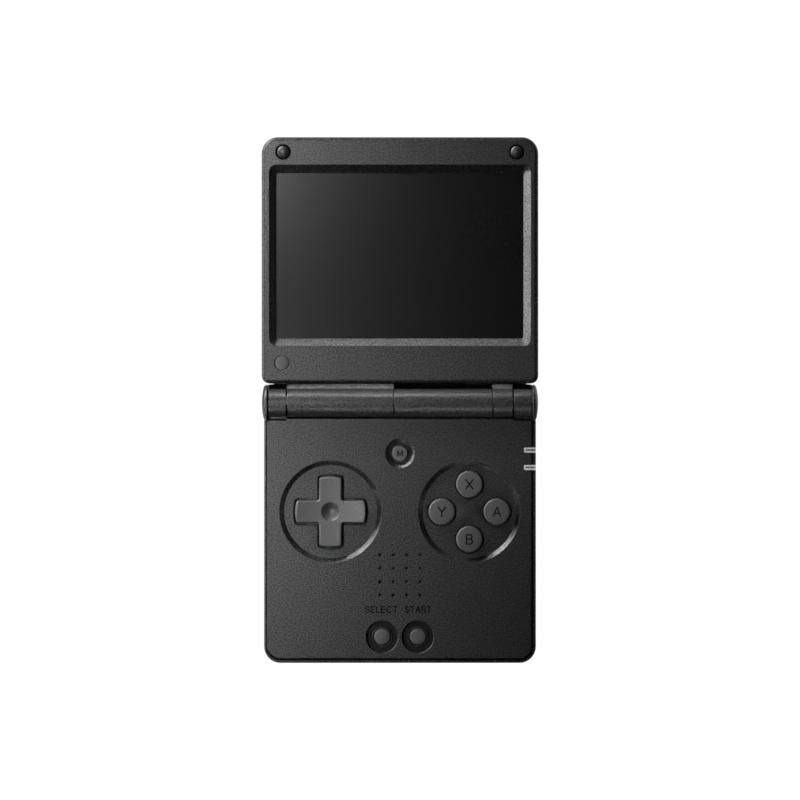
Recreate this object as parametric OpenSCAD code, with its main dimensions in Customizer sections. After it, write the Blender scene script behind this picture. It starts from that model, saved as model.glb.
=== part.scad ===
// Clamshell handheld game console, lid folded flat open.
// +X right, +Y towards the far edge of the opened lid, +Z up out of the control deck.
// The origin is the middle of the underside of the opened console.

/* [Lid] */
// Width of the lid across the two side edges
lid_w = 84.4; // [84.2:0.1:84.6]
// Thickness of the closed lid, front and rear shell together
lid_t = 9.4; // [9.2:0.1:9.8]
// Radius of the two far corners of the lid
lid_corner_r = 5.0; // [4.6:0.2:5.4]
// Radius of the two lid corners next to the hinge
lid_near_r = 2.3; // [1.9:0.1:2.6]
// Rounding of the outer edges of the lid
lid_edge_r = 3.5; // [2.6:0.1:3.6]

/* [Screen] */
// Width of the recess around the screen at the lid face
recess_w = 79.9; // [79.5:0.1:80.2]
// Height of the recess around the screen at the lid face
recess_h = 55.3; // [55.0:0.1:55.5]
// Width of the visible glass
glass_w = 75.4; // [74.8:0.1:75.8]
// Height of the visible glass
glass_h = 50.5; // [50.0:0.1:50.8]
// Depth from the lid face down to the glass
recess_d = 1.6; // [1.4:0.1:1.7]

/* [Base] */
// Width of the base across the two side walls
base_w = 82.9; // [82.8:0.1:83.2]
// Height of the control deck above the underside
base_t = 16; // [15.8:0.1:16.4]
// Radius of the two front corners of the base
base_corner_r = 5.0; // [4.6:0.2:5.4]
// Rounding of the lower edges of the base
base_edge_r = 3.0; // [2.4:0.1:3.2]
// Width of the thin rim of the lower shell around the deck
rim_t = 0.7; // [0.6:0.05:0.8]

/* [Hinge] */
// Radius of the hinge barrels
barrel_r = 4.25; // [4.2:0.05:4.35]
// Gap between a turning barrel and the trough it lies in
barrel_gap = 0.45; // [0.35:0.05:0.5]
// Radius of the round caps at the two ends of the hinge
cap_r = 5.55; // [5.3:0.05:5.6]
// Gap between deck and lid face when the lid is shut
shut_gap = 1.0; // [0.9:0.1:1.2]

/* [Controls] */
// Distance of the two big control dishes from the middle
dish_x = 21.15; // [21:0.05:21.3]
// Radius of the control dishes at the deck
dish_r = 15.6; // [15.5:0.1:15.8]
// Depth of the control dishes
dish_d = 1.2; // [1.0:0.1:1.3]
// Span of the direction pad from arm end to arm end
dpad_span = 21.7; // [21.3:0.1:21.9]
// Width of one arm of the direction pad
dpad_arm = 6.9; // [6.6:0.1:7.1]
// Diameter of the four face buttons
face_d = 8.1; // [7.9:0.1:8.3]
// Distance of each face button from the middle of its dish
face_pitch = 8.4; // [8.3:0.1:8.5]
// Diameter of the menu button
menu_d = 4.85; // [4.6:0.05:5]
// Diameter of the select and start buttons
start_d = 4.95; // [4.7:0.05:5.1]
// Spacing of the speaker holes
grille_pitch = 4.08; // [3.8:0.02:4.2]
// Diameter of one speaker hole
grille_hole = 0.9; // [0.7:0.1:1.2]

/* [Hidden] */
$fn = 64;

shell_c = [0.24, 0.24, 0.25];
key_c = [0.33, 0.33, 0.34];
board_c = [0.07, 0.30, 0.20];
metal_c = [0.72, 0.73, 0.75];
rubber_c = [0.15, 0.15, 0.15];
pad_c = [0.55, 0.56, 0.58];
flex_c = [0.80, 0.50, 0.18];

// heights
floor_t = 1.6;
deck_t = 1.6;
deck_z = base_t;              // top of the control deck, and of the lid face when open
deck_u = deck_z - deck_t;     // underside of the deck
rim_z = deck_z - 0.3;         // top of the lower shell's rim
lid_z0 = deck_z - lid_t;      // outside of the opened lid
lid_seam = deck_z - 3;        // seam between the two lid shells
ax_y = -0.9;                  // hinge axis
ax_z = deck_z + shut_gap / 2;
board_z = deck_z - 6;         // underside of the main board
board_top = board_z + 1;
flange_u = deck_z - 3.5;      // underside of the button flanges
dish_u = deck_z - 2.6;        // underside of the dish floors

// outlines
bx = base_w / 2;              // outside of the side walls
front_y = -80.2;
rear_y = 4.76;
wall = 1.5;
ix = bx - wall;               // inside of the side walls
deck_x = bx - rim_t - 0.15;   // edge of the deck plate
deck_fy = front_y + rim_t + 0.15;
far_y = 80.2;
lid_y0 = 5.06;                // edge of the lid next to the hinge
lx = lid_w / 2;
scr_y = 44.0;                 // middle of the screen

// barrel limits along X
x_end = 40.3;                 // outer face of the end knuckles
x_kn = 34.7;                  // inner face of the end knuckles
x_la = -34.3; x_lb = -1.98;   // long lid barrel
x_ca = -1.82; x_cb = 28.18;   // centre barrel of the base
x_ra = 28.33; x_rb = 34.3;    // short lid barrel
trough_r = barrel_r + barrel_gap;
bore_r = 2.5;

dish_y = -34.1;
menu_y = -16.3;
start_x = 5.45; start_y = -72.3;
grille_y = -53.4;
post = [[36.5, -10.2], [36.5, -73.6]];
bump = [[35.6, 75.6], [-35.6, 75.6]];
plug = [-36.0, 11.3];

// ---------- helpers ----------
// rounded rectangle, radius rf at the front corners and rb at the back ones
module rr2(x0, y0, x1, y1, rf, rb) {
  translate([x0 + rf, y0]) square([x1 - x0 - 2 * rf, y1 - y0 - rb]);
  translate([x0, y0 + rf]) square([x1 - x0, y1 - y0 - rf - rb]);
  translate([x0 + rb, y0 + rf]) square([x1 - x0 - 2 * rb, y1 - y0 - rf]);
  for (x = [x0 + rf, x1 - rf]) translate([x, y0 + rf]) circle(rf);
  for (x = [x0 + rb, x1 - rb]) translate([x, y1 - rb]) circle(rb);
}
module slab(x0, y0, x1, y1, rf, rb, z0, z1)
  translate([0, 0, z0]) linear_extrude(z1 - z0) rr2(x0, y0, x1, y1, rf, rb);
module box(x0, y0, z0, x1, y1, z1)
  translate([x0, y0, z0]) cube([x1 - x0, y1 - y0, z1 - z0]);
module xcyl(x0, x1, r, y = ax_y, z = ax_z)
  translate([x0, y, z]) rotate([0, 90, 0]) cylinder(h = x1 - x0, r = r);
module ycyl(y0, y1, r, x, z)
  translate([x, y0, z]) rotate([-90, 0, 0]) cylinder(h = y1 - y0, r = r);
module zcyl(x, y, z0, z1, r) translate([x, y, z0]) cylinder(h = z1 - z0, r = r);
module at_dish_l() translate([-dish_x, dish_y, 0]) children();
module at_dish_r() translate([dish_x, dish_y, 0]) children();
// closed shell form with rounded lower edges of radius r
module rounded_block(x, y0, y1, rf, rb, z0, z1, r)
  hull() {
    for (k = [0:4]) {
      a = 22.5 * k;
      i = r * (1 - sin(a));
      translate([0, 0, z0 + r * (1 - cos(a))]) linear_extrude(0.01)
        rr2(-x + i, y0 + i, x - i, y1 - i, max(rf - i, 0.4), max(rb - i, 0.4), $fn = 32);
    }
    translate([0, 0, z1 - 0.01]) linear_extrude(0.01) rr2(-x, y0, x, y1, rf, rb, $fn = 32);
  }

// upright profile from u0 to u1 with its two lower corners broken to radius r
module broken_edges(u0, u1, r, h)
  polygon(concat(
    [for (k = [0:3]) [u0 + r * (1 - sin(30 * k)), r * (1 - cos(30 * k))]],
    [[u0, h], [u1, h]],
    [for (k = [3:-1:0]) [u1 - r * (1 - sin(30 * k)), r * (1 - cos(30 * k))]]));

// ---------- base shells ----------
module key_window(x0, x1) box(x0 - 0.2, rear_y - 3, 2.0, x1 + 0.2, rear_y + 1, 7.6);

module base_bottom_shell() color(shell_c) difference() {
  union() {
    difference() {
      // outer form, its four lower edges broken in three steps of 30 degrees
      intersection() {
        slab(-bx, front_y, bx, rear_y, base_corner_r, 2.0, 0, rim_z);
        translate([0, rear_y + 1, 0]) rotate([90, 0, 0]) linear_extrude(90) broken_edges(-bx, bx, base_edge_r, rim_z + 1);
        translate([-bx - 1, 0, 0]) rotate([90, 0, 90]) linear_extrude(2 * bx + 2) broken_edges(front_y, rear_y, base_edge_r, rim_z + 1);
      }
      slab(-ix, front_y + wall, ix, rear_y - wall, base_corner_r - wall, 0.3, floor_t, deck_z + 1);
      // step that the deck plate sits in
      slab(-bx + rim_t, front_y + rim_t, bx - rim_t, rear_y - wall, base_corner_r - rim_t, 1,
        deck_u - 0.05, deck_z + 1);
    }
    // screw posts
    for (p = post) for (s = [-1, 1]) zcyl(s * p[0], p[1], floor_t - 0.1, 6, 2.4);
    // board posts
    for (s = [-1, 1]) for (y = [-15, -73]) zcyl(s * 30, y, floor_t - 0.1, board_z - 0.05, 1.5);
    // ledge round the battery bay, and the boss of its cover screw
    difference() {
      slab(-27.7, -63, 27.7, -15.6, 2, 2, floor_t - 0.1, 2.4);
      slab(-24.9, -60.5, 24.9, -21.6, 1.5, 1.5, floor_t - 1, 3);
    }
    zcyl(0, -18.4, floor_t - 0.1, 5, 2.2);
    // bearing lugs of the volume rocker
    box(-ix - 0.1, -27, 6.9, -37.9, -23, 7.6);
    box(-ix - 0.1, -27, 10.6, -37.9, -23, 11.3);
  }
  // counterbores and holes of the base screws
  for (p = post) for (s = [-1, 1]) {
    zcyl(s * p[0], p[1], -1, 2.2, 1.95);
    zcyl(s * p[0], p[1], 2, 7, 1.1);
  }
  // battery bay
  slab(-26.2, -61.5, 26.2, -20.5, 2.2, 2.2, -1, floor_t);
  zcyl(0, -18.4, -1, floor_t, 4.0);
  box(-4, -21.5, -1, 4, -18.4, floor_t);
  zcyl(0, -18.4, 1, 4.8, 0.8);
  // rear wall below the barrels, and round notches for the hinge caps
  box(-bx - 1, ax_y + 3.9, 12.4, bx + 1, rear_y + 1, deck_z + 1);
  for (s = [-1, 1]) xcyl(s > 0 ? ix - 0.05 : -bx - 1, s > 0 ? bx + 1 : -ix + 0.05, cap_r + 0.15);
  // shoulder key windows
  key_window(-38.8, -29.6);
  key_window(-29.0, -20.4);
  key_window(29.6, 38.8);
  key_window(20.4, 29.0);
  // port openings in the rear wall
  translate([8, rear_y - 3, 6.28]) rotate([-90, 0, 0]) linear_extrude(5)
    rr2(-4.75, -1.8, 4.75, 1.8, 1.7, 1.7);
  box(-15.35, rear_y - 3, 4.35, -3.65, rear_y + 1, 8.05);
  // headphone jack in the front wall
  ycyl(front_y - 1, front_y + 3, 2.65, 22, 5);
  // card slits in the side walls
  for (s = [-1, 1]) box(s > 0 ? 38 : -bx - 1, -66, 8.45, s > 0 ? bx + 1 : -38, -54, 9.85);
  // volume rocker slot and bearing
  translate([-bx - 1, -25, 9.1]) rotate([90, 0, 90]) linear_extrude(wall + 1.5)
    rr2(-6.8, -1.35, 6.8, 1.35, 1.3, 1.3);
  zcyl(-38.75, -25, 6, 12, 0.65);
  // power and reset openings
  translate([ix - 0.5, -30, 9.1]) rotate([90, 0, 90]) linear_extrude(4)
    rr2(-4.15, -1.25, 4.15, 1.25, 1.2, 1.2);
  xcyl(ix - 0.5, bx + 1, 1.05, -40, 9.1);
  // notches for the two light bars
  for (y = [-15.3, -20.6]) box(ix - 0.5, y - 0.85, 12.6, bx + 1, y + 0.85, deck_z + 1);
}

module dish(x) zcyl_cone(x, dish_y, dish_r, dish_r - 1.35, dish_d);
module zcyl_cone(x, y, r1, r0, d)
  translate([x, y, deck_z - d]) union() {
    cylinder(h = d, r1 = r0, r2 = r1);
    translate([0, 0, d - 0.001]) cylinder(h = 1, r = r1);
  }
module dpad_form(half, arm, z0, z1)
  intersection() {
    union() {
      box(-half - 1, -arm, z0, half + 1, arm, z1);
      box(-arm, -half - 1, z0, arm, half + 1, z1);
    }
    zcyl(0, 0, z0 - 1, z1 + 1, half);
  }

module base_top_shell() color(shell_c) difference() {
  union() {
    difference() {
      union() {
        // deck plate
        slab(-deck_x, deck_fy, deck_x, ax_y, base_corner_r - rim_t - 0.15, 0.5, deck_u, deck_z);
        // half pipe under the barrels
        intersection() {
          xcyl(-ix + 0.15, ix - 0.15, 6.1);
          box(-bx, ax_y - 7, 10, bx, ax_y, deck_z - 0.5);
        }
        intersection() {
          xcyl(-ix + 0.15, ix - 0.15, 6.1);
          box(-bx, ax_y - 0.01, 10, bx, ax_y + 4.06, 12.4);
        }
        // bosses under the controls
        for (s = [-1, 1]) zcyl(s * dish_x, dish_y, dish_u, deck_u + 0.1, dish_r + 1);
        zcyl(0, menu_y, dish_u, deck_u + 0.1, 5.6);
        for (s = [-1, 1]) zcyl(s * start_x, start_y, dish_u, deck_u + 0.1, 5.6);
        // screw posts
        for (p = post) for (s = [-1, 1]) zcyl(s * p[0], p[1], 6.1, deck_u + 0.1, 2.4);
      }
      // troughs of the turning barrels
      xcyl(-x_kn, x_ca, trough_r);
      xcyl(x_cb, x_kn, trough_r);
      // grooves along the fixed barrels
      intersection() {
        xcyl(x_ca - 0.1, x_cb + 0.1, trough_r);
        box(-bx, -10, ax_z - 2.2, bx, 10, ax_z + 8);
      }
      for (s = [-1, 1]) intersection() {
        xcyl(s > 0 ? x_kn : -bx - 1, s > 0 ? bx + 1 : -x_kn, 5.3);
        box(-bx - 1, -10, ax_z - 2.2, bx + 1, 10, ax_z + 8);
      }
      for (s = [-1, 1])
        xcyl(s > 0 ? x_end - 0.15 : -bx - 1, s > 0 ? bx + 1 : -x_end + 0.15, cap_r + 0.15);
      // nothing above the rear half of the pipe
      box(-bx - 1, ax_y - 1, 12.4, bx + 1, 12, deck_z + 1);
    }
    // fixed knuckles
    xcyl(-x_end, -x_kn, barrel_r);
    xcyl(x_kn, x_end, barrel_r);
    xcyl(x_ca, x_cb, barrel_r);
  }
  // bores of the knuckles
  xcyl(-x_end - 1, -x_kn + 1, bore_r);
  xcyl(x_kn - 1, x_end + 1, 1.85);
  xcyl(x_ca - 1, 8, bore_r);
  xcyl(7, 15, 1.6);
  xcyl(14.2, x_cb + 1, 2.9);
  // way down for the board's flex tail
  box(8.8, ax_y - 0.45, 9, 13.2, ax_y + 0.45, ax_z);
  // control dishes
  for (s = [-1, 1]) dish(s * dish_x);
  at_dish_l() dpad_form(dpad_span / 2 + 0.55, dpad_arm / 2 + 0.5, dish_u - 1, deck_z);
  at_dish_r() for (a = [0:90:270]) rotate([0, 0, a]) zcyl(face_pitch, 0, dish_u - 1, deck_z, face_d / 2 + 0.35);
  // menu button
  zcyl_cone(0, menu_y, 4.5, 3.0, 1.1);
  zcyl(0, menu_y, dish_u - 1, deck_z, menu_d / 2 + 0.4);
  // select and start wells with a collar round each button
  for (s = [-1, 1]) {
    difference() {
      zcyl(s * start_x, start_y, deck_z - 2, deck_z + 1, 4.8);
      zcyl(s * start_x, start_y, deck_z - 3, deck_z - 0.6, start_d / 2 + 0.65);
    }
    zcyl(s * start_x, start_y, dish_u - 1, deck_z, start_d / 2 + 0.3);
  }
  // speaker holes
  for (i = [-1.5:1:1.5]) for (j = [-1.5:1:1.5])
    zcyl(i * grille_pitch, grille_y + j * grille_pitch, deck_u - 1, deck_z + 1, grille_hole / 2, $fn = 24);
  // screw pilots
  for (p = post) for (s = [-1, 1]) zcyl(s * p[0], p[1], 5, 13, 0.8);
  // slots of the two light bars
  for (y = [-15.3, -20.6]) box(37.7, y - 0.85, deck_u - 1, bx + 1, y + 0.85, deck_z + 1);
}

module battery_cover() color(shell_c) difference() {
  union() {
    slab(-26, -61.3, 26, -20.7, 2, 2, 0, 1.5);
    zcyl(0, -18.4, 0, 1.5, 3.8);
    box(-3.8, -21.5, 0, 3.8, -18.4, 1.5);
  }
  zcyl(0, -18.4, -1, 0.9, 1.8);
  zcyl(0, -18.4, 0, 2, 0.95);
  // finger grooves
  for (i = [-1:1]) slab(-7, -58 + 2 * i, 7, -57.2 + 2 * i, 0.35, 0.35, -1, 0.3);
}

// pan head screw pointing up, head at z0
module screw(z0, zt, rh, hh, rs) {
  difference() {
    cylinder(h = hh, r = rh);
    for (a = [0, 90]) rotate([0, 0, a]) translate([-rh * 0.62, -0.2, -1]) cube([rh * 1.24, 0.4, 1 + hh * 0.55]);
  }
  translate([0, 0, hh - 0.01]) cylinder(h = zt - z0 - hh, r = rs);
}
module battery_cover_screw() color(metal_c) translate([0, -18.4, 0.1]) screw(0.1, 4.5, 1.6, 0.75, 0.78);
module base_screws() color(metal_c)
  for (p = post) for (s = [-1, 1]) translate([s * p[0], p[1], 0.6]) screw(0.6, 12.4, 1.75, 1.55, 0.78);

// ---------- inside the base ----------
module main_board() color(board_c) union() {
  difference() {
    box(-37.6, -76.8, board_z, 37.6, -8.4, board_top);
    for (p = post) for (s = [-1, 1]) zcyl(s * p[0], p[1], board_z - 1, board_top + 1, 2.8);
    box(-11, -63.4, board_z - 1, 11, -43.4, board_top + 1);
    // corners
    for (s = [-1, 1]) translate([s * 37.6, -76.8, board_z - 1]) cylinder(h = 3, r = 2);
  }
  // connector of the display flex and of the battery
  box(8, -14.6, board_z - 1.1, 14, -12.1, board_z + 0.01);
  box(-20, -20.5, board_z - 1.6, -14, -17.5, board_z + 0.01);
}
module soc_shield() color(metal_c) difference() {
  box(-12, -41, 8.5, 12, -22, board_z - 0.02);
  box(-11.8, -40.8, 8.7, 11.8, -22.2, board_z + 1);
}
module io_board() color(board_c) box(-38.6, -7.4, 7.9, 38.6, 2.6, 8.7);
module battery() color([0.25, 0.32, 0.42]) slab(-24.6, -60.2, 24.6, -22, 1.6, 1.6, 2.0, 7.9);
module speaker() color([0.2, 0.2, 0.2]) difference() {
  slab(-9.5, grille_y - 9, 9.5, grille_y + 9, 3, 3, 9.4, 13.9);
  zcyl(0, grille_y, 12.4, 15, 7.4);
}
module speaker_mesh() color(rubber_c) slab(-9, grille_y - 9, 9, grille_y + 9, 2, 2, 13.95, deck_u - 0.05);

module light_pipe(y) translate([0, y, 0]) union() {
  box(37.8, -0.8, deck_z - 1.2, bx - 0.03, 0.8, deck_z - 0.05);
  box(ix + 0.05, -0.8, 12.7, bx - 0.03, 0.8, deck_z - 0.5);
  box(37.8, -0.8, board_top + 0.4, 39.0, 0.8, deck_z - 0.5);
}
module power_light_pipe() color([0.85, 0.87, 0.88]) light_pipe(-15.3);
module charge_light_pipe() color([0.85, 0.87, 0.88]) light_pipe(-20.6);

module usb_c_port() color(metal_c) translate([8, 0, 6.28]) union() {
  difference() {
    translate([0, -2.9, 0]) rotate([-90, 0, 0]) linear_extrude(7.3) rr2(-4.47, -1.58, 4.47, 1.58, 1.5, 1.5);
    translate([0, -1.9, 0]) rotate([-90, 0, 0]) linear_extrude(9) rr2(-4.17, -1.28, 4.17, 1.28, 1.2, 1.2);
  }
  box(-3.3, -2.2, -0.35, 3.3, 3.2, 0.35);
}
module hdmi_port() color(metal_c) translate([-9.5, 0, 6.25]) union() {
  difference() {
    box(-5.6, -3, -1.6, 5.6, 4.4, 1.6);
    box(-5.3, -2, -1.3, 5.3, 6, 1.3);
  }
  box(-4, -2.2, -0.3, 4, 3.2, 0.4);
}
module headphone_jack() color(rubber_c) difference() {
  union() {
    box(19.1, -78.6, 2.4, 24.9, -64.4, 7.7);
    ycyl(front_y + 0.1, -78.5, 2.5, 22, 5);
  }
  ycyl(front_y - 1, -66, 1.78, 22, 5);
}
module card_slot(s) color(metal_c) difference() {
  box(s > 0 ? 26 : -39.8, -67, 8.15, s > 0 ? 39.8 : -26, -53, board_z - 0.02);
  box(s > 0 ? 27 : -41, -65.9, 8.5, s > 0 ? 41 : -27, -54.1, board_z - 0.2);
}
module card_slot_left() card_slot(-1);
module card_slot_right() card_slot(1);

module side_switch(s, y) {
  box(s > 0 ? 34.6 : -37.8, y - 1.9, 8.0, s > 0 ? 37.8 : -34.6, y + 1.9, board_z - 0.02);
  xcyl(s > 0 ? 37.7 : -38.35, s > 0 ? 38.35 : -37.7, 0.7, y, 9.0);
}
module rear_switch(x) {
  box(x - 2, -2.6, 4.0, x + 2, 0.6, 7.88);
  ycyl(0.5, 1.1, 0.8, x, 5.2);
}
module tact_switches() color([0.6, 0.6, 0.62]) union() {
  side_switch(1, -30); side_switch(1, -40);
  side_switch(-1, -29.2); side_switch(-1, -20.8);
  for (x = [-34.2, -24.7, 24.7, 34.2]) rear_switch(x);
}

// ---------- rubber pads under the buttons ----------
module dome(x, y, r) zcyl(x, y, board_top + 0.4, flange_u - 0.08, r);
module dpad_membrane() color(pad_c) at_dish_l() difference() {
  union() {
    zcyl(0, 0, board_top + 0.03, board_top + 0.5, 13);
    for (a = [0:90:270]) rotate([0, 0, a]) zcyl(8.6, 0, board_top + 0.4, flange_u - 0.43, 2.6);
  }
  zcyl(0, 0, board_top - 1, board_top + 2, 2.6);
}
module face_button_membrane() color(pad_c) at_dish_r() union() {
  zcyl(0, 0, board_top + 0.03, board_top + 0.5, 13);
  for (a = [0:90:270]) rotate([0, 0, a]) dome(face_pitch, 0, 3.4);
}
module menu_membrane() color(pad_c) union() {
  zcyl(0, menu_y, board_top + 0.03, board_top + 0.5, 4.4);
  dome(0, menu_y, 2.3);
}
module start_select_membrane() color(pad_c) union() {
  slab(-10, start_y - 4, 10, start_y + 4, 2, 2, board_top + 0.03, board_top + 0.5);
  for (s = [-1, 1]) dome(s * start_x, start_y, 2.3);
}

// ---------- hinge ----------
module hinge_cartridge() color(metal_c) difference() {
  xcyl(14.4, x_cb - 0.08, 2.88);
  xcyl(15.4, x_cb + 1, 2.3);
}
spring_turns = 5;
spring_seg = 14;
function coil(i) = let (a = 360 * i / spring_seg) [15.95 + 0.96 * i / spring_seg, ax_y + 1.75 * cos(a), ax_z + 1.75 * sin(a)];
function ring(i, n) = let (a = 360 * i / spring_seg, p = coil(i))
  [for (k = [0:n - 1]) let (b = 360 * k / n)
    [p[0] + 0.33 * sin(b), p[1] + 0.33 * cos(b) * cos(a), p[2] + 0.33 * cos(b) * sin(a)]];
module hinge_spring() color(metal_c) {
  n = 6;
  m = spring_turns * spring_seg;
  polyhedron(
    points = [for (i = [0:m]) each ring(i, n)],
    faces = concat(
      [[for (k = [0:n - 1]) k]],
      [for (i = [0:m - 1]) for (k = [0:n - 1])
        [i * n + k, (i + 1) * n + k, (i + 1) * n + (k + 1) % n, i * n + (k + 1) % n]],
      [[for (k = [n - 1:-1:0]) m * n + k]]));
}
module hinge_sleeve_left() color(metal_c) difference() {
  xcyl(-40.0, -20, 2.47);
  xcyl(-41, -19, 1.6);
}
module hinge_sleeve_centre() color(metal_c) difference() {
  xcyl(-12, 7.6, 2.47);
  xcyl(-13, 9, 1.6);
}
module hinge_cam_shaft() color([0.55, 0.56, 0.58]) union() {
  xcyl(21.6, x_cb + 0.1, 2.22);
  xcyl(x_cb + 0.1, x_rb - 0.02, 2.49);
  xcyl(x_rb - 0.1, 38.2, 1.8);
}
// domed cap, turned about the hinge axis; s is the side it faces
module end_cap(s, stem_r, stem_l) translate([0, ax_y, ax_z]) rotate([0, s * 90, 0])
  union() {
    rotate_extrude() polygon([[0, 40.42], [cap_r - 0.1, 40.42], [cap_r, 40.55], [cap_r - 0.05, 40.85],
      [cap_r - 0.3, 41.2], [cap_r - 0.75, 41.5], [cap_r - 1.6, 41.74], [cap_r - 3, 41.95], [0, 42.1]]);
    translate([0, 0, 40.42 - stem_l]) cylinder(h = stem_l + 0.1, r = stem_r);
  }
module hinge_end_cap_left() color(shell_c) end_cap(-1, 1.57, 4);
module hinge_end_cap_right() color(shell_c) end_cap(1, 1.82, 1.8);
module board_flex_tail() color(flex_c) union() {
  difference() { xcyl(7.9, 13, 1.25); xcyl(7, 14, 1.0); }
  box(9, ax_y - 0.1, 9.15, 13, ax_y + 0.1, ax_z - 1.05);
  box(9, -12.05, 9.15, 13, ax_y + 0.1, 9.3);
}

// ---------- lid ----------
module web(x0, x1) translate([x0, ax_y, ax_z]) rotate([90, 0, 90]) linear_extrude(x1 - x0)
  polygon([[6.4, -0.85], [5.6, -0.8], [4.9, -0.6], [4.4, -0.25], [4.1, 0.15], [3.2, 0.15], [3.2, -2.6], [6.4, -2.6]]);

// one opening profile: straight by w0 (half width) up to zb, then sloped out to w1 at the lid face
module opening_profile(c0, w0, c1, w1, zb)
  polygon([[c0 - w0, lid_seam - 1], [c0 + w0, lid_seam - 1], [c0 + w0, zb], [c1 + w1, deck_z],
    [c1 + w1, deck_z + 1], [c1 - w1, deck_z + 1], [c1 - w1, deck_z], [c0 - w0, zb]]);
module screen_opening() {
  zb = deck_z - recess_d + 0.15;
  intersection() {
    slab(-recess_w / 2, scr_y + 0.15 - recess_h / 2, recess_w / 2, scr_y + 0.15 + recess_h / 2, 2.2, 2.2,
      lid_seam - 2, deck_z + 2);
    translate([0, scr_y + 40, 0]) rotate([90, 0, 0]) linear_extrude(80)
      opening_profile(0, glass_w / 2, 0, recess_w / 2 + 0.01, zb);
    translate([-50, 0, 0]) rotate([90, 0, 90]) linear_extrude(100)
      opening_profile(scr_y, glass_h / 2, scr_y + 0.15, recess_h / 2 + 0.01, zb);
  }
}

module lid_front_shell() color(shell_c) difference() {
  union() {
    difference() {
      slab(-lx, lid_y0, lx, far_y, lid_near_r, lid_corner_r, lid_seam, deck_z);
      difference() {
        slab(-lx + 1.6, lid_y0 + 1.6, lx - 1.6, far_y - 1.6, lid_near_r - 1.6 + 0.3, lid_corner_r - 1.6,
          lid_seam - 1, deck_z - 1.2);
        // seat of the glass
        box(-40.3, scr_y - 27.8, deck_z - recess_d + 0.05, 40.3, scr_y + 28.1, deck_z);
      }
    }
    for (p = concat(bump, [plug])) zcyl(p[0], p[1], lid_seam, deck_z - 0.5, 3.3);
    xcyl(x_la, x_lb, barrel_r);
    xcyl(x_ra, x_rb, barrel_r);
    web(x_la, x_lb);
    web(x_ra, x_rb);
  }
  // sloped screen recess and its opening
  screen_opening();
  // bumper and screw seats
  for (p = concat(bump, [plug])) {
    zcyl(p[0], p[1], deck_z - 0.9, deck_z + 1, 2.3);
    zcyl(p[0], p[1], deck_z - 2.2, deck_z, 1.85);
    zcyl(p[0], p[1], lid_seam - 1, deck_z, 1.05);
  }
  xcyl(x_la - 1, x_lb + 1, bore_r);
  xcyl(x_ra - 1, x_rb + 1, bore_r);
  // slit for the display flex
  box(-19.4, ax_y + 0.5, ax_z - 2.35, -12.6, lid_y0 + 2, ax_z - 1.75);
}
module lid_rear_shell() color(shell_c) union() {
  difference() {
    rounded_block(lx, lid_y0, far_y, lid_near_r, lid_corner_r, lid_z0, lid_seam - 0.05, lid_edge_r);
    slab(-lx + 1.6, lid_y0 + 1.6, lx - 1.6, far_y - 1.6, lid_near_r - 1.3, lid_corner_r - 1.6,
      lid_z0 + 1.5, lid_seam + 1);
  }
  difference() {
    for (p = concat(bump, [plug])) zcyl(p[0], p[1], lid_z0 + 1.4, lid_seam - 0.05, 2.2);
    for (p = concat(bump, [plug])) zcyl(p[0], p[1], lid_z0 + 2, lid_seam + 1, 0.8);
  }
}
module screen_lens() color([0.08, 0.08, 0.09])
  slab(-38.9, scr_y - 26.4, 38.9, scr_y + 26.4, 1, 1, deck_z - recess_d - 1.1, deck_z - recess_d);
module screen_gasket() color(rubber_c) difference() {
  slab(-38.6, scr_y - 26.3, 38.6, scr_y + 26.3, 1, 1, deck_z - 3.25, deck_z - 2.75);
  slab(-36.8, scr_y - 24.6, 36.8, scr_y + 24.6, 0.5, 0.5, deck_z - 4, deck_z);
}
module lcd_panel() color([0.12, 0.13, 0.16]) box(-38.2, scr_y - 26.2, deck_z - 4.5, 38.2, scr_y + 26.2, deck_z - 3.3);
module backlight_unit() color([0.85, 0.86, 0.88]) box(-38.2, scr_y - 26.2, deck_z - 6.4, 38.2, scr_y + 26.2, deck_z - 4.55);
module lid_bumpers() color(rubber_c) for (p = bump) translate([p[0], p[1], 0]) {
  zcyl(0, 0, deck_z - 0.88, deck_z - 0.1, 2.2);
  intersection() {
    translate([0, 0, deck_z + 0.7 - 3.425]) sphere(r = 3.425);
    zcyl(0, 0, deck_z - 0.2, deck_z + 2, 2.2);
  }
}
module lid_screw_plug() color(rubber_c) zcyl(plug[0], plug[1], deck_z - 0.88, deck_z - 0.05, 2.12);
module lid_screws() color(metal_c) for (p = concat(bump, [plug]))
  translate([p[0], p[1], deck_z - 0.95]) mirror([0, 0, 1]) screw(0, 6.2, 1.7, 1.2, 0.78);
module lid_magnet() color(metal_c) zcyl(27, 76.2, 8.4, 10.6, 1.6);
module lcd_flex_cable() color(flex_c) union() {
  difference() { xcyl(-19, 7.4, 1.25); xcyl(-20, 8, 1.0); }
  box(-19, ax_y - 0.1, ax_z - 2.15, -13, ax_y + 0.1, ax_z - 1.05);
  box(-19, ax_y - 0.1, ax_z - 2.15, -13, 15.2, ax_z - 1.95);
  box(-19, 15.0, 11.8, -13, 15.2, ax_z - 1.95);
  box(-19, 15.0, 11.8, -13, scr_y - 26.23, 12.0);
}

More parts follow.
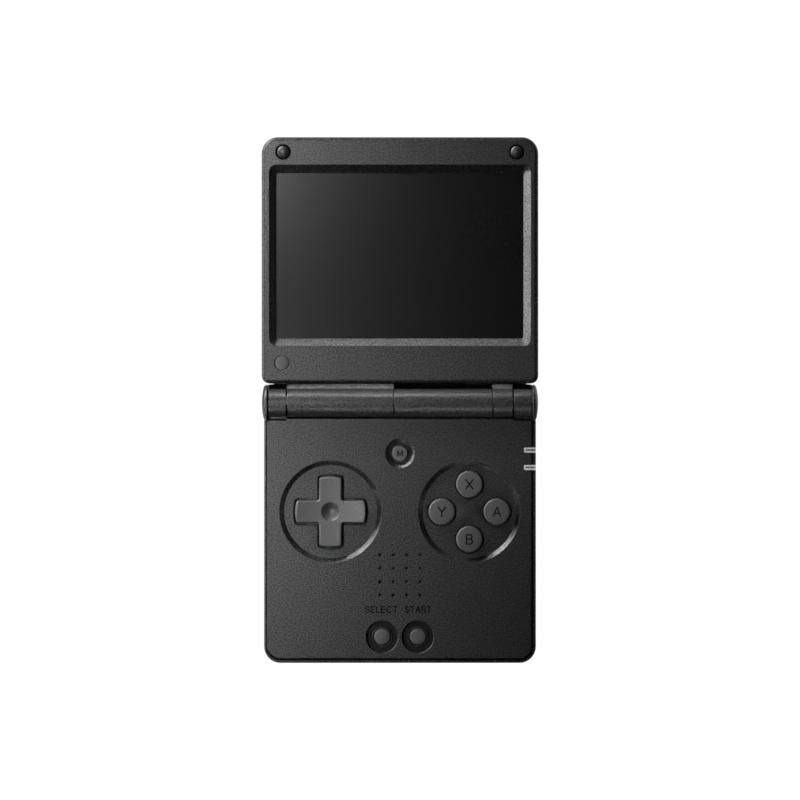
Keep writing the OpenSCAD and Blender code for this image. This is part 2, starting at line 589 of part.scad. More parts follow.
// ---------- controls ----------
piv_z = deck_z - 3.4;         // rocking centre of the direction pad
module dpad_pivot() color(key_c) at_dish_l() intersection() {
  translate([0, 0, piv_z]) sphere(r = 1.5);
  zcyl(0, 0, board_top + 0.3, deck_z, 3);
}
module dpad() color(key_c) at_dish_l() difference() {
  union() {
    dpad_form(dpad_span / 2, dpad_arm / 2, deck_z - 3.85, deck_z + 1.0);
    zcyl(0, 0, deck_z - 3.85, deck_z - 3.45, 8.0);
  }
  // socket of the rocking centre, and the thumb hollow
  translate([0, 0, piv_z]) sphere(r = 1.62);
  translate([0, 0, deck_z + 1 - 0.6 + 7.07]) sphere(r = 7.07);
}
// round button: cap, flange and slightly domed top
module round_button(x, y, r, top, fr) translate([x, y, 0]) union() {
  zcyl(0, 0, flange_u, flange_u + 0.75, fr);
  intersection() {
    zcyl(0, 0, flange_u + 0.1, top + 1, r);
    translate([0, 0, top - 10 * r]) sphere(r = 10 * r, $fn = 128);
  }
}
module button_x() color(key_c) round_button(dish_x, dish_y + face_pitch, face_d / 2, deck_z + 1.2, 4.9);
module button_a() color(key_c) round_button(dish_x + face_pitch, dish_y, face_d / 2, deck_z + 1.2, 4.9);
module button_b() color(key_c) round_button(dish_x, dish_y - face_pitch, face_d / 2, deck_z + 1.2, 4.9);
module button_y() color(key_c) round_button(dish_x - face_pitch, dish_y, face_d / 2, deck_z + 1.2, 4.9);
module button_menu() color(key_c) round_button(0, menu_y, menu_d / 2, deck_z - 0.1, 3.5);
module button_select() color(key_c) round_button(-start_x, start_y, start_d / 2, deck_z - 0.3, 3.4);
module button_start() color(key_c) round_button(start_x, start_y, start_d / 2, deck_z - 0.3, 3.4);

module volume_rocker() color(key_c) union() {
  translate([-41.42, -25, 9.1]) rotate([90, 0, 90]) linear_extrude(2.17) rr2(-6.5, -1.1, 6.5, 1.1, 1.05, 1.05);
  box(-39.45, -32, 7.75, -38.7, -18, 10.45);
  zcyl(-38.75, -25, 6.95, 11.25, 0.6);
}
module power_button() color(key_c) union() {
  translate([39.2, -30, 9.1]) rotate([90, 0, 90]) linear_extrude(2.22) rr2(-3.9, -1.0, 3.9, 1.0, 0.95, 0.95);
  box(39.0, -34.6, 7.6, 39.8, -25.4, 9.9);
}
module reset_button() color(key_c) union() {
  xcyl(39.2, bx - 0.05, 0.9, -40, 9.1);
  box(39.0, -41.6, 7.6, 39.8, -38.4, 9.9);
}
module shoulder(x0, x1) color(key_c) union() {
  box(x0, 2.2, 2.2, x1, 5.6, 7.4);
  box(x0 - 0.25, 2.0, 1.75, x1 + 0.25, 3.1, 7.75);
}
module shoulder_l1() shoulder(-38.8, -29.65);
module shoulder_l2() shoulder(-28.95, -20.4);
module shoulder_r2() shoulder(20.4, 28.95);
module shoulder_r1() shoulder(29.65, 38.8);

base_bottom_shell();
base_top_shell();
battery_cover();
battery_cover_screw();
base_screws();
main_board();
soc_shield();
io_board();
battery();
speaker();
speaker_mesh();
power_light_pipe();
charge_light_pipe();
usb_c_port();
hdmi_port();
headphone_jack();
card_slot_left();
card_slot_right();
tact_switches();
hinge_cartridge();
hinge_spring();
hinge_sleeve_left();
hinge_sleeve_centre();
hinge_end_cap_left();
hinge_end_cap_right();
board_flex_tail();
dpad_membrane();
face_button_membrane();
menu_membrane();
start_select_membrane();
lid_front_shell();
lid_rear_shell();
screen_lens();
screen_gasket();
lcd_panel();
backlight_unit();
lid_bumpers();
lid_screw_plug();
lid_screws();
lid_magnet();
lcd_flex_cable();
hinge_cam_shaft();
dpad_pivot();
dpad();
button_x();
button_a();
button_b();
button_y();
button_menu();
button_select();
button_start();
volume_rocker();
power_button();
reset_button();
shoulder_l1();
shoulder_l2();
shoulder_r1();
shoulder_r2();
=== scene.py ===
import bpy
import bmesh
import math
from mathutils import Matrix, Vector, geometry


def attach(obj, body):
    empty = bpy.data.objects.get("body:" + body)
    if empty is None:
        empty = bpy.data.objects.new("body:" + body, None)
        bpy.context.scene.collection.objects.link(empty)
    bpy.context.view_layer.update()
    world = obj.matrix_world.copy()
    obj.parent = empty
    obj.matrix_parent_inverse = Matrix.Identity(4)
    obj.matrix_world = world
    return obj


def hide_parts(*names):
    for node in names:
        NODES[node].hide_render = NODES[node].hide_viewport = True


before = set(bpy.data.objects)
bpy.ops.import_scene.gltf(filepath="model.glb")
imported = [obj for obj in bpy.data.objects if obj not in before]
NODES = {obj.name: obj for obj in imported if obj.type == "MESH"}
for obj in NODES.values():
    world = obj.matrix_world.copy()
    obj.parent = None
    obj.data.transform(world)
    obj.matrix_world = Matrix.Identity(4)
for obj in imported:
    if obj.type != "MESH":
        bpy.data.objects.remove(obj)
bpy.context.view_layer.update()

# ------------------------------------------------------------------ sizes, in millimetres
AX_Y, AX_Z = -0.9, 16.5            # hinge axis
DECK, RIM, LID_OUT, SEAM = 16.0, 15.7, 6.6, 13.0
BX, IX = 41.45, 39.95              # base: outside and inside of the side walls
FRONT, REAR = -80.2, 4.76
LX, LID_NEAR, LID_FAR = 42.2, 5.06, 80.2
DISH_X, DISH_Y = 21.15, -34.1
EPS = 0.0006


# ------------------------------------------------------------------ outlines: loop(off) gives points, inset by off
def rr(x0, y0, x1, y1, rf, rb=None, n=8):
    rb = rf if rb is None else rb

    def loop(off=0.0):
        pts = []
        for sx, sy, r, a0 in ((1, 1, rb, 0), (-1, 1, rb, 90), (-1, -1, rf, 180), (1, -1, rf, 270)):
            q = max(r - off, 0.02)
            ox = x1 - off - q if sx > 0 else x0 + off + q
            oy = y1 - off - q if sy > 0 else y0 + off + q
            for k in range(n + 1):
                a = math.radians(a0 + 90 * k / n)
                pts.append((ox + q * math.cos(a), oy + q * math.sin(a)))
        return pts
    return loop


def circ(cx, cy, r, n=64):
    def loop(off=0.0):
        return [(cx + (r - off) * math.cos(2 * math.pi * k / n), cy + (r - off) * math.sin(2 * math.pi * k / n))
                for k in range(n)]
    return loop


def arc(cx, cy, r, a0, a1, n):
    return [(cx + r * math.cos(a0 + (a1 - a0) * k / n), cy + r * math.sin(a0 + (a1 - a0) * k / n)) for k in range(n + 1)]


def cross(cx, cy, h, a, ro, ri):
    def loop(off=0.0):
        H, A, RO, RI = h - off, a - off, max(ro - off, 0.06), max(ri + off, 0.06)
        fx = math.sqrt((H - RO) ** 2 - (A - RO) ** 2)
        phi = math.atan2(A - RO, fx)
        q = arc(0, 0, H, 0, phi, 4)
        q += arc(fx, A - RO, RO, phi, math.pi / 2, 6)[1:]
        q += [(fx + (A + RI - fx) * t, A) for t in (0.33, 0.67)]
        q += arc(A + RI, A + RI, RI, 1.5 * math.pi, math.pi, 5)
        q += [(A, A + RI + (fx - A - RI) * t) for t in (0.33, 0.67)]
        q += arc(A - RO, fx, RO, 0, math.pi / 2 - phi, 6)
        q += arc(0, 0, H, math.pi / 2 - phi, math.pi / 2, 4)[1:-1]
        pts = []
        for k in range(4):
            c, s = (1, 0, -1, 0)[k], (0, 1, 0, -1)[k]
            pts += [(cx + x * c - y * s, cy + x * s + y * c) for x, y in q]
        return pts
    return loop


def fillet(pts, n=5, closed=False):
    """Rounds the corners given as (x, y, radius)."""
    out, m = [], len(pts)
    for i, p in enumerate(pts):
        r = p[2] if len(p) > 2 else 0
        if r <= 0 or (not closed and i in (0, m - 1)):
            out.append((p[0], p[1]))
            continue
        a, b, c = Vector(pts[i - 1][:2]), Vector(p[:2]), Vector(pts[(i + 1) % m][:2])
        u, v = (a - b).normalized(), (c - b).normalized()
        ang = u.angle(v)
        d = r / math.tan(ang / 2)
        t0, t1 = b + u * d, b + v * d
        cen = b + (u + v).normalized() * (r / math.sin(ang / 2))
        a0 = math.atan2(t0.y - cen.y, t0.x - cen.x)
        a1 = math.atan2(t1.y - cen.y, t1.x - cen.x)
        da = (a1 - a0 + math.pi) % (2 * math.pi) - math.pi
        out += [(cen.x + r * math.cos(a0 + da * k / n), cen.y + r * math.sin(a0 + da * k / n)) for k in range(n + 1)]
    return out


# local frames: (u, v, w) with w pointing out of the surface
def along(ax, pos=(0, 0, 0)):
    cols = {"x": ((0, 1, 0), (0, 0, 1), (1, 0, 0)), "-x": ((0, 1, 0), (0, 0, 1), (-1, 0, 0)),
            "y": ((1, 0, 0), (0, 0, 1), (0, 1, 0)), "-y": ((1, 0, 0), (0, 0, 1), (0, -1, 0)),
            "z": ((1, 0, 0), (0, 1, 0), (0, 0, 1)), "-z": ((1, 0, 0), (0, 1, 0), (0, 0, -1))}[ax]
    m = Matrix.Identity(4)
    for j, c in enumerate(cols):
        for i in range(3):
            m[i][j] = c[i]
    for i in range(3):
        m[i][3] = pos[i]
    return m


# ------------------------------------------------------------------ closed shells
def skin(bm, rings, closed=False, cap0=True, cap1=True):
    pairs = list(zip(rings, rings[1:])) + ([(rings[-1], rings[0])] if closed else [])
    for a, b in pairs:
        if len(a) == 1 and len(b) == 1:
            continue
        n = max(len(a), len(b))
        for i in range(n):
            j = (i + 1) % n
            if len(a) == 1:
                bm.faces.new((a[0], b[j], b[i]))
            elif len(b) == 1:
                bm.faces.new((a[i], a[j], b[0]))
            else:
                bm.faces.new((a[i], a[j], b[j], b[i]))
    if not closed:
        if cap0 and len(rings[0]) > 1:
            bm.faces.new(list(reversed(rings[0])))
        if cap1 and len(rings[-1]) > 1:
            bm.faces.new(rings[-1])


def place(rings, T):
    if T is not None:
        for ring in rings:
            for v in ring:
                v.co = T @ v.co


def prism(bm, loop, prof, T=None):
    """Stack of the outline at (inset, height) pairs, closed at both ends."""
    rings = [[bm.verts.new((x, y, z)) for x, y in loop(off)] for off, z in prof]
    place(rings, T)
    skin(bm, rings)
    return bm


def spin(bm, prof, c=(0, 0), n=64, T=None, closed=False):
    """Surface of revolution of (radius, height) pairs."""
    rings = []
    for r, z in prof:
        if r < 1e-6:
            rings.append([bm.verts.new((c[0], c[1], z))])
        else:
            rings.append([bm.verts.new((c[0] + r * math.cos(2 * math.pi * k / n), c[1] + r * math.sin(2 * math.pi * k / n), z))
                          for k in range(n)])
    place(rings, T)
    skin(bm, rings, closed=closed)
    return bm


def extrude_x(bm, poly, x0, x1):
    """Prism along X of a (y, z) outline."""
    rings = [[bm.verts.new((x, y, z)) for y, z in poly] for x in (x0, x1)]
    skin(bm, rings)
    return bm


def brick(bm, x0, y0, z0, x1, y1, z1, r=0.0, n=3):
    """Box whose upright and level edges are rounded to r."""
    if r <= 0:
        return prism(bm, lambda off: [(x0, y0), (x1, y0), (x1, y1), (x0, y1)], [(0, z0), (0, z1)])
    prof = [(r * (1 - math.sin(a)), z0 + r * (1 - math.cos(a))) for a in [math.pi / 2 * k / n for k in range(n + 1)]]
    prof += [(r * (1 - math.cos(a)), z1 - r + r * math.sin(a)) for a in [math.pi / 2 * k / n for k in range(n + 1)]]
    return prism(bm, rr(x0, y0, x1, y1, r, n=n), prof)


def top_edge(r, z, n=5, off=0.0):
    """(inset, height) of a rounded upper edge that ends at height z."""
    return [(off + r * (1 - math.cos(a)), z - r + r * math.sin(a)) for a in [math.pi / 2 * k / n for k in range(n + 1)]]


def low_edge(r, z, n=5, off=0.0):
    return [(off + r * (1 - math.sin(a)), z + r * (1 - math.cos(a))) for a in [math.pi / 2 * k / n for k in range(n + 1)]]


def mouth(r, z, n=4):
    """(inset, height) of an opening's rounded mouth, for a cutter that grows outward."""
    return [(-r * (1 - math.cos(a)), z - r + r * math.sin(a)) for a in [math.pi / 2 * k / n for k in range(n + 1)]]


def make(bm, name):
    bmesh.ops.recalc_face_normals(bm, faces=bm.faces[:])
    me = bpy.data.meshes.new(name)
    bm.to_mesh(me)
    bm.free()
    ob = bpy.data.objects.new(name, me)
    bpy.context.scene.collection.objects.link(ob)
    return ob


def combine(ob, bm, how="DIFFERENCE", own=False):
    """Exact boolean of ob with the closed shells in bm."""
    c = make(bm, "cutter")
    m = ob.modifiers.new("b", "BOOLEAN")
    m.object, m.operation, m.solver, m.use_self = c, how, "EXACT", own
    dg = bpy.context.evaluated_depsgraph_get()
    me = bpy.data.meshes.new_from_object(ob.evaluated_get(dg))
    ob.modifiers.clear()
    old, ob.data = ob.data, me
    bpy.data.meshes.remove(old)
    old = c.data
    bpy.data.objects.remove(c)
    bpy.data.meshes.remove(old)
    return ob


def add(ob, bm):
    """Joins more closed shells to ob."""
    bmesh.ops.recalc_face_normals(bm, faces=bm.faces[:])
    bm.from_mesh(ob.data)
    bm.to_mesh(ob.data)
    bm.free()
    return ob


def done(ob, body, mat, nodes=(), angle=30.0, name=None, cleanup=True):
    """Scales to metres, shades, gives the material and sets it on its body."""
    me = ob.data
    if name:
        ob.name = name
    bm = bmesh.new()
    bm.from_mesh(me)
    if cleanup:
        bmesh.ops.remove_doubles(bm, verts=bm.verts[:], dist=0.0004)
        bmesh.ops.dissolve_degenerate(bm, edges=bm.edges[:], dist=0.0004)
    for f in bm.faces:
        f.smooth = True
        f.material_index = 0
    bm.to_mesh(me)
    bm.free()
    me.transform(Matrix.Scale(0.001, 4))
    me.set_sharp_from_angle(angle=math.radians(angle))
    me.materials.clear()
    me.materials.append(mat)
    w = ob.modifiers.new("weighted", "WEIGHTED_NORMAL")
    w.mode, w.keep_sharp, w.weight = "FACE_AREA", True, 80
    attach(ob, body)
    if nodes:
        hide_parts(*nodes)
    return ob


# ------------------------------------------------------------------ materials
def nodes_of(name):
    name = "finish_" + name
    mat = bpy.data.materials.new(name)
    mat.use_nodes = True
    nt = mat.node_tree
    b = nt.nodes["Principled BSDF"]
    return mat, nt, b


def new(nt, kind, **kw):
    n = nt.nodes.new(kind)
    for k, v in kw.items():
        if k in n.inputs.keys():
            n.inputs[k].default_value = v
        else:
            setattr(n, k, v)
    return n


def noise(nt, coord, scale, detail=2.0, rough=0.5):
    t = new(nt, "ShaderNodeTexNoise", Scale=scale, Detail=detail, Roughness=rough)
    nt.links.new(coord, t.inputs["Vector"])
    return t.outputs["Fac"]


def span(nt, value, lo, hi, a=0.0, b=1.0):
    m = new(nt, "ShaderNodeMapRange")
    m.inputs["From Min"].default_value, m.inputs["From Max"].default_value = a, b
    m.inputs["To Min"].default_value, m.inputs["To Max"].default_value = lo, hi
    nt.links.new(value, m.inputs["Value"])
    return m.outputs["Result"]


def tint(nt, fac, dark, light):
    m = new(nt, "ShaderNodeMix", data_type="RGBA")
    m.inputs["A"].default_value = (*dark, 1)
    m.inputs["B"].default_value = (*light, 1)
    nt.links.new(fac, m.inputs["Factor"])
    return m.outputs["Result"]


def bump(nt, height, dist, strength=1.0, under=None):
    n = new(nt, "ShaderNodeBump", Strength=strength, Distance=dist)
    nt.links.new(height, n.inputs["Height"])
    if under is not None:
        nt.links.new(under, n.inputs["Normal"])
    return n.outputs["Normal"]


def moulded(name, base, rough, grain=3600.0, depth=0.00002, spread=0.25, rough_spread=0.06, spec=0.5, cloud=0.06,
            metal=0.0, ior=1.46, sparkle=0.0):
    """Moulded plastic or rubber: fine spark-eroded grain in height, colour and gloss, with faint larger clouds."""
    mat, nt, b = nodes_of(name)
    co = new(nt, "ShaderNodeTexCoord").outputs["Object"]
    fine = noise(nt, co, grain, 1.0, 0.5)
    coarse = noise(nt, co, grain * 0.8, 1.0, 0.5)
    big = noise(nt, co, 45.0, 2.0, 0.5)
    g = new(nt, "ShaderNodeMath", operation="ADD")
    nt.links.new(span(nt, fine, 0.0, 1.0 - cloud, 0.3, 0.7), g.inputs[0])
    nt.links.new(span(nt, big, 0.0, cloud, 0.3, 0.7), g.inputs[1])
    lo = tuple(c * (1 - spread) for c in base)
    hi = tuple(c * (1 + spread) for c in base)
    nt.links.new(tint(nt, g.outputs[0], lo, hi), b.inputs["Base Color"])
    nt.links.new(span(nt, coarse, rough - rough_spread, rough + rough_spread, 0.3, 0.7), b.inputs["Roughness"])
    nt.links.new(bump(nt, fine, depth), b.inputs["Normal"])
    b.inputs["IOR"].default_value = ior
    b.inputs["Specular IOR Level"].default_value = spec
    if sparkle:
        nt.links.new(span(nt, fine, spec - sparkle, spec + sparkle, 0.3, 0.7), b.inputs["Specular IOR Level"])
    b.inputs["Metallic"].default_value = metal
    return mat


def steel(name, base, rough, stretch=(900, 900, 60), depth=0.000004):
    mat, nt, b = nodes_of(name)
    co = new(nt, "ShaderNodeTexCoord").outputs["Object"]
    mp = new(nt, "ShaderNodeMapping")
    mp.inputs["Scale"].default_value = stretch
    nt.links.new(co, mp.inputs["Vector"])
    lines = noise(nt, mp.outputs["Vector"], 1.0, 4.0, 0.6)
    spots = noise(nt, co, 700.0, 2.0, 0.5)
    nt.links.new(tint(nt, spots, tuple(c * 0.8 for c in base), base), b.inputs["Base Color"])
    nt.links.new(span(nt, lines, rough * 0.7, rough * 1.3, 0.3, 0.7), b.inputs["Roughness"])
    nt.links.new(bump(nt, lines, depth), b.inputs["Normal"])
    b.inputs["Metallic"].default_value = 1.0
    return mat


def screen_glass(name):
    mat, nt, b = nodes_of(name)
    co = new(nt, "ShaderNodeTexCoord").outputs["Object"]
    big = noise(nt, co, 60.0, 3.0, 0.5)
    nt.links.new(tint(nt, big, (0.0030, 0.0030, 0.0033), (0.0042, 0.0042, 0.0046)), b.inputs["Base Color"])
    nt.links.new(span(nt, big, 0.268, 0.272, 0.3, 0.7), b.inputs["Roughness"])
    b.inputs["IOR"].default_value = 1.5
    b.inputs["Coat Weight"].default_value = 0.0
    return mat


def clear_plastic(name, base):
    mat, nt, b = nodes_of(name)
    co = new(nt, "ShaderNodeTexCoord").outputs["Object"]
    f = noise(nt, co, 1800.0, 2.0, 0.5)
    nt.links.new(tint(nt, f, tuple(c * 0.88 for c in base), base), b.inputs["Base Color"])
    nt.links.new(span(nt, f, 0.22, 0.34, 0.3, 0.7), b.inputs["Roughness"])
    nt.links.new(bump(nt, f, 0.000004), b.inputs["Normal"])
    b.inputs["Subsurface Weight"].default_value = 0.25
    b.inputs["Subsurface Radius"].default_value = (0.001, 0.001, 0.001)
    return mat


def laminate(name):
    """Circuit board: lacquer over copper tracks."""
    mat, nt, b = nodes_of(name)
    co = new(nt, "ShaderNodeTexCoord").outputs["Object"]
    br = new(nt, "ShaderNodeTexBrick", Scale=260.0)
    br.inputs["Color1"].default_value = (0.010, 0.085, 0.042, 1)
    br.inputs["Color2"].default_value = (0.012, 0.105, 0.050, 1)
    br.inputs["Mortar"].default_value = (0.030, 0.170, 0.080, 1)
    br.inputs["Mortar Size"].default_value = 0.03
    nt.links.new(co, br.inputs["Vector"])
    nt.links.new(br.outputs["Color"], b.inputs["Base Color"])
    f = noise(nt, co, 900.0, 2.0, 0.5)
    nt.links.new(span(nt, f, 0.25, 0.4, 0.3, 0.7), b.inputs["Roughness"])
    nt.links.new(bump(nt, br.outputs["Fac"], 0.00002), b.inputs["Normal"])
    return mat


def woven(name, base):
    """Fine acoustic cloth behind the speaker holes."""
    mat, nt, b = nodes_of(name)
    co = new(nt, "ShaderNodeTexCoord").outputs["Object"]
    w1 = new(nt, "ShaderNodeTexWave", wave_type="BANDS", bands_direction="X", Scale=900.0)
    w2 = new(nt, "ShaderNodeTexWave", wave_type="BANDS", bands_direction="Y", Scale=900.0)
    for w in (w1, w2):
        nt.links.new(co, w.inputs["Vector"])
    m = new(nt, "ShaderNodeMath", operation="MAXIMUM")
    nt.links.new(w1.outputs["Fac"], m.inputs[0])
    nt.links.new(w2.outputs["Fac"], m.inputs[1])
    nt.links.new(tint(nt, m.outputs[0], tuple(c * 0.4 for c in base), base), b.inputs["Base Color"])
    nt.links.new(bump(nt, m.outputs[0], 0.00006), b.inputs["Normal"])
    nt.links.new(span(nt, m.outputs[0], 0.95, 0.8), b.inputs["Roughness"])
    return mat


SHELL = moulded("shell_plastic", (0.0150, 0.0150, 0.0153), 0.40, grain=2500.0, depth=0.00002, spread=0.6, rough_spread=0.05, ior=1.75,
                sparkle=0.30)
KEY = moulded("key_plastic", (0.088, 0.088, 0.0895), 0.37, grain=3000.0, depth=0.000010, spread=0.12, ior=1.85, sparkle=0.08)
# TRIM_AND_PAINTED_SHADE is the dark trim of the jack and speaker, and also the colour of the painted-shade rings in the
# select and start wells.
TRIM_AND_PAINTED_SHADE = moulded("dark_trim", (0.0080, 0.0080, 0.0082), 0.45, grain=2600.0, depth=0.00001)
RUBBER = moulded("rubber_black", (0.030, 0.030, 0.0305), 0.36, grain=1500.0, depth=0.000008, spread=0.15, ior=1.75)
SILICONE = moulded("silicone", (0.22, 0.23, 0.25), 0.6, grain=1200.0, depth=0.00001, spread=0.1)
# INK_AND_PAINTED_SHADE is the print of the letters and words, and also the colour of the painted-shade rings round the
# bumpers and strips on the hinge ledge.
INK_AND_PAINTED_SHADE = moulded("print_ink_and_painted_shade", (0.0035, 0.0035, 0.0035), 0.85, grain=3000.0, depth=0.000004, spread=0.3, spec=0.06)
FOIL = moulded("battery_foil", (0.10, 0.12, 0.16), 0.32, grain=500.0, depth=0.00002, spread=0.15)
FILM = moulded("flex_film", (0.42, 0.20, 0.05), 0.35, grain=800.0, depth=0.00001, spread=0.15)
LCD = moulded("lcd_glass", (0.012, 0.013, 0.018), 0.12, grain=900.0, depth=0.000001, spread=0.15, rough_spread=0.03)
DIFFUSER = moulded("diffuser", (0.7, 0.71, 0.73), 0.5, grain=1500.0, depth=0.00001, spread=0.05)
CLOTH = woven("dark_cloth", (0.012, 0.012, 0.012))
SCREW = steel("screw_steel", (0.42, 0.42, 0.43), 0.35, stretch=(700, 700, 700))
PORT = steel("port_steel", (0.60, 0.60, 0.61), 0.28, stretch=(800, 90, 800))
PIVOT = steel("hinge_steel", (0.50, 0.50, 0.51), 0.30, stretch=(90, 900, 900))
BOARD = laminate("board_laminate")
GLASS = screen_glass("screen_glass")
PIPE = clear_plastic("light_pipe", (0.86, 0.87, 0.87))
# The pipe core colour is painted shade: a grey strip at the foot of the groove that darkens the middle of each light
# bar.
PIPE_PAINTED_SHADE = moulded("pipe_painted_shade_core", (0.20, 0.20, 0.20), 0.35, grain=2600.0, depth=0.00001, spread=0.7)
BY_SLOT = {"shell_plastic": SHELL, "key_plastic": KEY, "dark_trim": TRIM_AND_PAINTED_SHADE, "rubber_black": RUBBER, "silicone": SILICONE,
           "battery_foil": FOIL, "flex_film": FILM, "lcd_glass": LCD, "diffuser": DIFFUSER, "dark_cloth": CLOTH,
           "screw_steel": SCREW, "port_steel": PORT, "hinge_steel": PIVOT, "board_laminate": BOARD,
           "screen_glass": GLASS, "light_pipe": PIPE}


# ------------------------------------------------------------------ lettering: strokes of even width
def stroke_font(ch):
    """Plain grotesque capitals as polylines in a box 1 high; returns (width, strokes)."""
    def bow(cx, cy, rx, ry, a0, a1, n=10):
        return [(cx + rx * math.cos(math.radians(a0 + (a1 - a0) * k / n)),
                 cy + ry * math.sin(math.radians(a0 + (a1 - a0) * k / n))) for k in range(n + 1)]
    if ch == "A":
        return 0.80, [[(0, 0), (0.40, 1), (0.80, 0)], [(0.15, 0.34), (0.65, 0.34)]]
    if ch == "B":
        return 0.66, [[(0, 0), (0, 1), (0.36, 1)] + bow(0.36, 0.765, 0.25, 0.235, 90, -90) + [(0, 0.53)],
                      [(0.36, 0.53)] + bow(0.38, 0.265, 0.28, 0.265, 90, -90) + [(0, 0)]]
    if ch == "C":
        return 0.76, [bow(0.42, 0.5, 0.42, 0.5, 48, 312, 16)]
    if ch == "E":
        return 0.58, [[(0.58, 1), (0, 1), (0, 0), (0.58, 0)], [(0, 0.52), (0.52, 0.52)]]
    if ch == "L":
        return 0.52, [[(0, 1), (0, 0), (0.52, 0)]]
    if ch == "M":
        return 0.86, [[(0, 0), (0, 1), (0.43, 0.12), (0.86, 1), (0.86, 0)]]
    if ch == "R":
        return 0.68, [[(0, 0), (0, 1), (0.38, 1)] + bow(0.38, 0.74, 0.28, 0.26, 90, -90) + [(0, 0.48)],
                      [(0.36, 0.48), (0.68, 0)]]
    if ch == "S":
        return 0.64, [bow(0.32, 0.755, 0.29, 0.245, 25, 250, 12) + bow(0.32, 0.255, 0.32, 0.255, 90, -160, 14)]
    if ch == "T":
        return 0.66, [[(0, 1), (0.66, 1)], [(0.33, 1), (0.33, 0)]]
    if ch == "X":
        return 0.78, [[(0, 0), (0.78, 1)], [(0, 1), (0.78, 0)]]
    if ch == "Y":
        return 0.78, [[(0, 1), (0.39, 0.47), (0.78, 1)], [(0.39, 0.47), (0.39, 0)]]
    return 0.3, []


def letters(word, cx, cy, height, stroke, z0, z1, width=None, gap=0.26):
    """Closed solids of the word, one capsule chain per stroke, united into one shell."""
    h = height - stroke
    glyphs = [stroke_font(c) for c in word]
    wid = sum(g[0] for g in glyphs) * h + gap * height * (len(word) - 1) + stroke
    sx = 1.0 if width is None else (width - stroke) / (wid - stroke)
    x = cx - (wid - stroke) * sx / 2
    y = cy - h / 2
    ob = None
    for w, strokes in glyphs:
        for line in strokes:
            for (ax, ay), (bx, by) in zip(line, line[1:]):
                a = Vector((x + ax * h * sx, y + ay * h))
                b = Vector((x + bx * h * sx, y + by * h))
                if (b - a).length < 1e-5:
                    continue
                ang = math.atan2(b.y - a.y, b.x - a.x)
                r = stroke / 2
                pts = arc(b.x, b.y, r, ang - math.pi / 2, ang + math.pi / 2, 6) + \
                    arc(a.x, a.y, r, ang + math.pi / 2, ang + 1.5 * math.pi, 6)
                bm = bmesh.new()
                prism(bm, lambda off, p=pts: p, [(0, z0), (0, z1)])
                if ob is None:
                    ob = make(bm, "letters")
                else:
                    add(ob, bm)
        x += (w * h + gap * height) * sx
    # unite the overlapping strokes
    m = ob.modifiers.new("b", "BOOLEAN")
    far = bmesh.new()
    brick(far, cx - 0.1, cy + 40, z0, cx + 0.1, cy + 40.2, z1)
    c = make(far, "far")
    m.object, m.operation, m.solver, m.use_self = c, "UNION", "EXACT", True
    dg = bpy.context.evaluated_depsgraph_get()
    me = bpy.data.meshes.new_from_object(ob.evaluated_get(dg))
    bm = bmesh.new()
    bm.from_mesh(me)
    bmesh.ops.delete(bm, geom=[v for v in bm.verts if v.co.y > cy + 20], context="VERTS")
    bmesh.ops.remove_doubles(bm, verts=bm.verts[:], dist=0.0003)
    for o in (c, ob):
        d = o.data
        bpy.data.objects.remove(o)
        bpy.data.meshes.remove(d)
    bpy.data.meshes.remove(me)
    return bm


# ------------------------------------------------------------------ base: control deck
def lip_cut(R, f, floor=None, front=8):
    """(y, z) outline of what is taken out of the deck for a trough of radius R, with a rounded lip."""
    top = DECK + EPS
    zc = top - f
    dy = math.sqrt((R + f) ** 2 - (zc - AX_Z) ** 2)
    yc = AX_Y - dy
    end = math.atan2(AX_Z - zc, AX_Y - yc)
    pts = [(yc, DECK + 8)] + arc(yc, zc, f, math.pi / 2, end, 5)
    a0 = math.atan2(zc - AX_Z, yc - AX_Y)
    if a0 > 0:
        a0 -= 2 * math.pi
    if floor is None:
        pts += [(AX_Y + R * math.cos(a0 + (0.05 - a0) * k / 40), AX_Z + R * math.sin(a0 + (0.05 - a0) * k / 40)) for k in range(1, 41)]
        pts += [(AX_Y + R, DECK + 8)]
    else:
        a1 = -math.pi + math.asin((AX_Z - floor) / R)
        pts += [(AX_Y + R * math.cos(a0 + (a1 - a0) * k / 8), AX_Z + R * math.sin(a0 + (a1 - a0) * k / 8)) for k in range(1, 9)]
        pts += [(6, floor), (6, DECK + 8)]
    return pts


def barrel(bm, x0, x1, R=4.25, c0=0.15, c1=0.15, bore=2.5, n=96):
    """Tube about the hinge axis with rounded rims of radius c0 and c1 at its two ends."""
    prof = [(bore, x0)] + [(R - c0 + c0 * math.sin(a), x0 + c0 - c0 * math.cos(a)) for a in [math.pi / 2 * k / 8 for k in range(9)]]
    prof += [(R - c1 + c1 * math.cos(a), x1 - c1 + c1 * math.sin(a)) for a in [math.pi / 2 * k / 6 for k in range(7)]]
    prof += [(bore, x1)]
    spin(bm, prof, n=n, T=along("x", (0, AX_Y, AX_Z)), closed=True)


